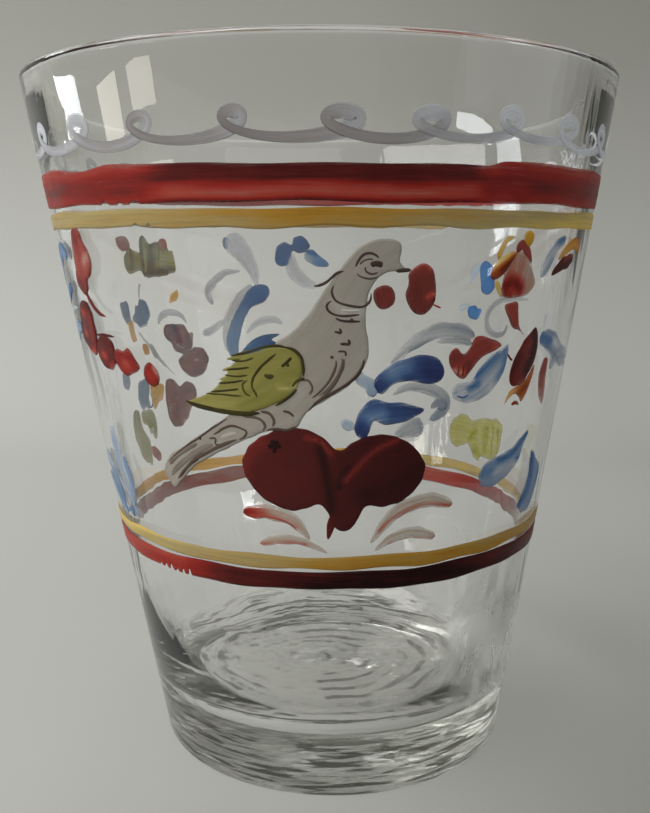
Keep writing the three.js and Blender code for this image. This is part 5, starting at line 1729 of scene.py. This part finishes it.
# %% The blue leaves at the left edge
make_motif("blue_leaf_left", leaf_slate, [
    stroke([(-62.6, 34.6), (-66.4, 35.2), (-71.4, 34), (-77, 29.6)], 2.4, tone=0.3, end=0.5,
           soft=[([(-65, 34.2), (-72, 32.6)], 0.5, 0.9)]),
    stroke([(-64.8, 30.8), (-69, 29.8), (-73, 28)], 1.5, tone=0.08, end=0.3),
    stroke([(-64, 25.6), (-67.6, 25.2), (-72, 23.4)], 1.9, tone=0.5, end=0.7),
    stroke([(-63.4, 28), (-67, 27.8), (-71, 26.8)], 0.7, tone=0.9, end=0.95),
])
make_motif("blue_leaf_low_left", leaf_slate, [
    stroke([(-57.5, 13.2), (-57.6, 9.6), (-56, 5.6), (-52.6, 1)], 3, tone=0.85, end=0.66,
           soft=[([(-58, 11), (-58, 7)], 0.8, 0.66)]),
    stroke([(-54.2, 9.2), (-52.6, 7), (-52.4, 4.6), (-53.4, 2.4)], 1.4, tone=0.42, end=0.6, lay=1),
    stroke([(-54.4, 1), (-56.6, 1.8), (-58.4, 1.2)], 0.9, tone=0.3, end=0.5, lay=1),
])
make_motif("blue_leaf_far_left", leaf_slate, [
    stroke([(-70, 8), (-66, 7.2), (-62.4, 4.4), (-59.6, 0.6)], 2.8, tone=0.62, end=0.4,
           soft=[([(-66, 6), (-62.4, 3)], 0.6, 0.28), ([(-68, 8.4), (-64, 7)], 0.4, 0.9)]),
    stroke([(-74, 4.6), (-69, 4.4), (-64.6, 2.4), (-62, 0.4)], 1.5, tone=0.7, end=0.5),
])
print("the left spray is painted")

# %% [markdown]
# ## The sprays on the back
#
# The back is seen through the near wall and through its own, so the eye meets the underside of
# each lay. The pads are closed there as well, and carry the same streaks. The motifs are leaves
# and small flowers in the same hand, looser than those in front. Their blue and yellow are
# brighter copies of the front colours, painted light, since the backs of these lays get little
# light.

# %% The olive leaves
make_motif("olive_leaf_high", leaf_olive, [
    patch([(226.2, 31.4), (226.4, 33), (227.6, 35), (230, 35.4), (232.4, 36.2), (234.2, 36),
           (236.4, 37.4), (238.6, 36.6), (239.6, 34.6), (241, 35), (243, 35.6), (245, 34.4),
           (246.4, 32.8), (245.6, 31.4), (243, 31.2), (240.4, 31.6), (238.4, 30.6), (234, 30.5),
           (229.5, 30.6)],
          tone=0.5, flow=[(227, 33), (236, 33.4), (246, 32.6)],
          soft=[([(228, 31.6), (232, 31.3), (238, 31)], 0.6, 0.1),
                ([(228, 33.6), (231, 33.2)], 0.9, 0.86), ([(237.6, 37), (238, 31.4)], 0.5, 0.02),
                ([(234, 35.6), (234.6, 31.4)], 0.35, 0.1), ([(231.6, 35.4), (232, 33)], 0.3, 0.14),
                ([(242.4, 35), (242.6, 32)], 0.35, 0.16),
                ([(236, 34.6), (236.2, 32.6)], 0.45, 0.8),
                ([(240.4, 34.4), (240.4, 32.4)], 0.5, 0.72),
                ([(237, 31.7), (237.4, 31.7)], 0.25, 1.0)]),
    patch([(257.2, 10.1), (254.2, 10), (254.1, 7.9), (252.4, 6.2), (251.3, 4.5), (251.7, 2.4),
           (253.9, 1.2), (256.9, 2.2), (259.2, 4.2), (260.8, 6.3), (260.1, 8.6)],
          tone=1.0,
          soft=[([(256.5, 10.2), (257.8, 8.8), (258.3, 7.4)], 0.3, 0.5),
                ([(254.2, 10), (255.6, 8.3), (256.2, 6.7)], 0.3, 0.5)]),
    patch([(253, 9.3), (249.4, 9.7), (244.9, 8.8), (243.9, 6.9), (246.7, 4.8), (248.9, 5.5),
           (250.1, 7.1), (252.7, 8.1)],
          tone=0.98, soft=[([(253.3, 9), (252.4, 7.8), (249.7, 6.9)], 0.25, 0.4)]),
])
make_motif("olive_leaf_high_stem", feather_grey, [
    stroke([(240.4, 29.6), (241.8, 27.4), (242.4, 25.4)], 0.5, tone=0.95),
    stroke([(244.6, 22), (240, 19.6), (236.4, 16.4), (231, 14.2)], 0.55, tone=0.98),
])
make_motif("red_dot_left", berry_red, [
    patch([(246.6, 37.2), (243.6, 37), (242, 35.8), (243.2, 35), (246.2, 34.9), (248.2, 35.6),
           (248.4, 36.8)], tone=0.72),
    patch([(251.3, 3.8), (248.4, 3.8), (245.5, 2.5), (245.6, 1.5), (248.3, 1.5), (250.9, 2.6)],
          tone=0.86),
])
make_motif("red_dot_right", berry_red, [
    patch([(230, 36.7), (228.2, 36.3), (227.9, 35.2), (229.4, 34.7), (231.6, 34.9), (232.2, 36)],
          tone=0.8),
])
make_motif("olive_leaf_low", leaf_olive, [
    patch([(109.6, 5.6), (110.4, 7.2), (113.4, 8.1), (118.4, 7.9), (121, 7.8), (123.4, 7.4),
           (126, 7), (128.6, 7.5), (131.4, 7.7), (134, 6.6), (135.4, 5.2), (134.8, 3.2),
           (132.6, 1.9), (130.2, 2.4), (127, 3), (125.6, 2), (124.4, 1), (121.6, 0.7),
           (119.6, 1.6), (115, 1.4), (111.4, 2.6), (109.4, 4)],
          tone=0.93, flow=[(113, 5), (124, 4.6), (135, 4.6)],
          soft=[([(112, 2.8), (112.8, 6.4)], 0.4, 0.4), ([(115.2, 2.4), (116, 6.6)], 0.4, 0.44),
                ([(118.6, 2.4), (119.2, 6.4)], 0.35, 0.46), ([(121, 1.6), (124, 2)], 0.8, 0.6),
                ([(124.6, 5.4), (126.4, 4)], 0.4, 0.44), ([(133.6, 3), (134.4, 3.6)], 0.5, 0.95)]),
])

# %% The mauve flowers
make_motif("mauve_flower", flower_mauve, [
    patch([(233.2, 21.5), (232.4, 22.5), (230.4, 22.7), (227.3, 22.6), (225, 21.8), (224, 20.3),
           (224.1, 18.9), (225.8, 17.8), (228.1, 17.6), (230.4, 18.5), (232.1, 20)],
          tone=0.1, flow=[(226, 23), (230, 20.6), (232, 17.6)],
          soft=[([(227, 21), (228.4, 20.2)], 1, 0.5)]),
    stroke([(223.4, 21), (224.6, 19.6), (225.4, 18.4)], 0.9, tone=0.98),
])
make_motif("mauve_flower_cap", scroll_white, [
    stroke([(235.8, 22.8), (233.6, 24), (230, 24.6), (226.8, 24), (224.6, 22.6)], 1.2, tone=1),
    stroke([(226.4, 18.6), (228.6, 18.9), (230.4, 18.2)], 1, tone=1),
])
make_motif("mauve_berry", flower_mauve, [
    patch([(219, 16.6), (220.4, 18.1), (223.4, 18.5), (226.6, 17.7), (229.2, 16.6), (229, 15),
           (227, 14), (223.5, 13.7), (220.4, 14.6), (219.2, 15.6)],
          tone=0.16, end=0.24, soft=[([(222.4, 16.4), (222.8, 16.4)], 0.3, 0.9)]),
])
make_motif("mauve_leaf", flower_mauve, [
    patch([(224.6, 10.8), (225.6, 12.6), (228.4, 13), (230.6, 12.5), (232.6, 13.5), (235, 13.9),
           (237.4, 12.6), (238.2, 10), (238.4, 8), (236.8, 6.2), (233.4, 5.8), (230.4, 6.6),
           (227.4, 8.6)],
          tone=0.46, flow=[(225, 10), (231, 9.6), (238, 9)],
          soft=[([(225.6, 12), (229, 11.8)], 0.9, 0.2), ([(236.6, 9), (237.6, 8)], 0.6, 0.86)]),
])

# %% The blue and white strokes
make_motif("blue_s_leaf", back_blue_painted_light, [
    patch([(202.7, 28.1), (199.7, 28.7), (197, 28.2), (196.7, 26.9), (199.1, 25.5), (202.8, 24.6),
           (205.2, 22.8), (207, 20.2), (208.1, 17.6), (208.7, 15.6), (210.6, 16.2), (211.6, 18.3),
           (210.9, 20.9), (208.7, 23.4), (205.7, 26)],
          tone=0.26, end=0.66, flow=[(197.6, 27.5), (202.9, 26), (208.5, 21.5), (209.7, 15.7)],
          soft=[([(200.4, 27.7), (198, 27.6)], 0.7, 0.3)]),
    stroke([(208.4, 37), (208.9, 35.8), (208.6, 34.6)], 1.2, tone=0.5, lay=1),
])
make_motif("blue_short_leaf", back_blue_painted_light, [
    patch([(208.9, 15.7), (206.9, 17.5), (203.5, 18.9), (198.9, 19.9), (194.5, 19.9),
           (197.4, 18.9), (195.8, 18.3), (200.1, 17.1), (205.3, 16.2)], tone=0.5, end=0.16,
          flow=[(208.6, 15.8), (202.6, 18.1), (194.9, 19.8)]),
])
make_motif("white_short_leaf", scroll_white, [
    stroke([(193.3, 21.9), (196.4, 22.5), (201.2, 22), (205.3, 20.1)], 1.4, tone=0.97, end=1),
])
make_motif("white_curl_leaf", scroll_white, [
    patch([(205.9, 37.8), (203.4, 37), (201.6, 35.1), (200.2, 32.8), (199.5, 30), (200.4, 28.3),
           (201.6, 29.2), (202.9, 30.5), (204.5, 31.9), (206.9, 33.3), (208.8, 34.5),
           (209.1, 36.1), (207.7, 37.4)], tone=0.92, end=1,
          flow=[(200.6, 28.5), (202.2, 32.2), (206.7, 37.4)]),
    stroke([(215.3, 25.4), (216.5, 27.5), (214, 29.3), (209.9, 30.7), (205.1, 31)], 1.5,
           tone=0.88),
    stroke([(202, 28.6), (206.1, 26.5), (210, 23.4), (212, 20.2), (211.3, 17.1)], 1.6, tone=0.92),
    stroke([(219.9, 20.5), (215.2, 21.4), (211.6, 22.8)], 1.4, tone=0.92),
])
make_motif("white_hook_leaf", scroll_white, [
    patch([(191, 31.7), (190, 33.2), (188.7, 34.2), (187.5, 32.8), (186.1, 31.1), (183.6, 29.6),
           (181.1, 28.6), (184.1, 28), (187.5, 28.6), (190, 29.7)], tone=0.92, end=1,
          flow=[(189.8, 33.3), (188.2, 30.5), (181.7, 28.5)]),
])
make_motif("blue_hook_leaf", back_blue_painted_light, [
    patch([(194.2, 33.9), (193.5, 35.3), (191.1, 36.2), (188.9, 35.8), (188.2, 37), (186.2, 37.4),
           (184.1, 36.5), (183.5, 35.5), (184.8, 34.5), (187.1, 34.3), (188.7, 34.6),
           (189.4, 33.2), (190.7, 32), (193.1, 31.9), (194.3, 32.6)], tone=0.28, end=0.16,
          flow=[(193.1, 32.2), (191.2, 34.6), (184.3, 36.1)]),
    patch([(184.8, 34.7), (182.9, 35), (181.1, 34.2), (178.2, 32.2), (180.5, 31.8), (183.2, 32.3),
           (185.2, 33.3)],
          tone=0.9, end=0.4, flow=[(184.8, 34.2), (181.9, 33.2), (178.4, 32.1)],
          soft=[([(184, 34.6), (181.6, 34.2)], 0.5, 0.2)]),
])
make_motif("blue_dab_high", back_blue_painted_light, [
    patch([(124.6, 28.6), (127.4, 27.6), (129.6, 28.4), (130.4, 30), (131.4, 32.2), (129, 33.2),
           (126, 32), (124.8, 30.4)], tone=0.3, end=0.4,
          flow=[(125.6, 28.2), (127.6, 30.4), (130, 32.8)]),
    stroke([(130.6, 33), (132.4, 31.6), (133, 29.4)], 1.3, tone=0.92),
])
make_motif("blue_dab_low", back_blue_painted_light, [
    stroke([(132.6, 25.6), (130.6, 24.4), (128, 25.2)], 1.9, tone=0.34, end=0.5),
    stroke([(136.4, 25.2), (134.6, 25.4), (132.6, 26)], 1.2, tone=0.95),
])
make_motif("blue_dab_left", back_blue_painted_light, [
    patch([(238.6, 25), (239.6, 26.6), (242.2, 27), (244.6, 25.8), (245.9, 24), (244.2, 22.9),
           (241.2, 22.8), (239.4, 23.6)],
          tone=0.56, soft=[([(241.4, 25), (242, 24)], 0.6, 0.66)]),
    patch([(247.4, 26.4), (249.4, 27), (251.2, 26.4), (251.6, 24.4), (250, 23.4), (248.2, 24.1)],
          tone=0.46),
    patch([(256.3, 16.5), (254.4, 15.9), (254.2, 14.7), (256, 13.8), (258.3, 13.4), (260, 14.3),
           (259.8, 15.3)], tone=0.66),
    patch([(252.3, 13), (250.2, 14.1), (247.2, 14.8), (244.5, 14.6), (242.7, 13.7), (243.7, 12.6),
           (245.9, 12.1), (247.9, 11.3), (247.5, 10.2), (249.4, 9.7), (251.6, 10.4),
           (252.7, 11.6)], tone=0.62, end=0.76),
    stroke([(244.7, 12.5), (243.1, 11.3), (244.6, 10.1), (248.8, 9.8)], 0.5, tone=0.4),
])
make_motif("yellow_dab", back_yellow_painted_light, [
    patch([(242.5, 13.3), (237.9, 12.8), (239.6, 11), (242.7, 9.3), (244.4, 10.6), (242.9, 11.6)],
          tone=0.6),
    stroke([(246.4, 24), (248.6, 22.6), (248, 20.4)], 1.8, tone=0.7, end=0.5),
    patch([(228.5, 27.6), (226.9, 28.1), (226.2, 27.3), (227.8, 26.3), (229.7, 26)], tone=0.6),
    patch([(240.6, 19.4), (242.4, 20), (244, 19.2), (243.2, 18.3), (241.4, 18.3)], tone=0.3),
])
print("the back is painted")
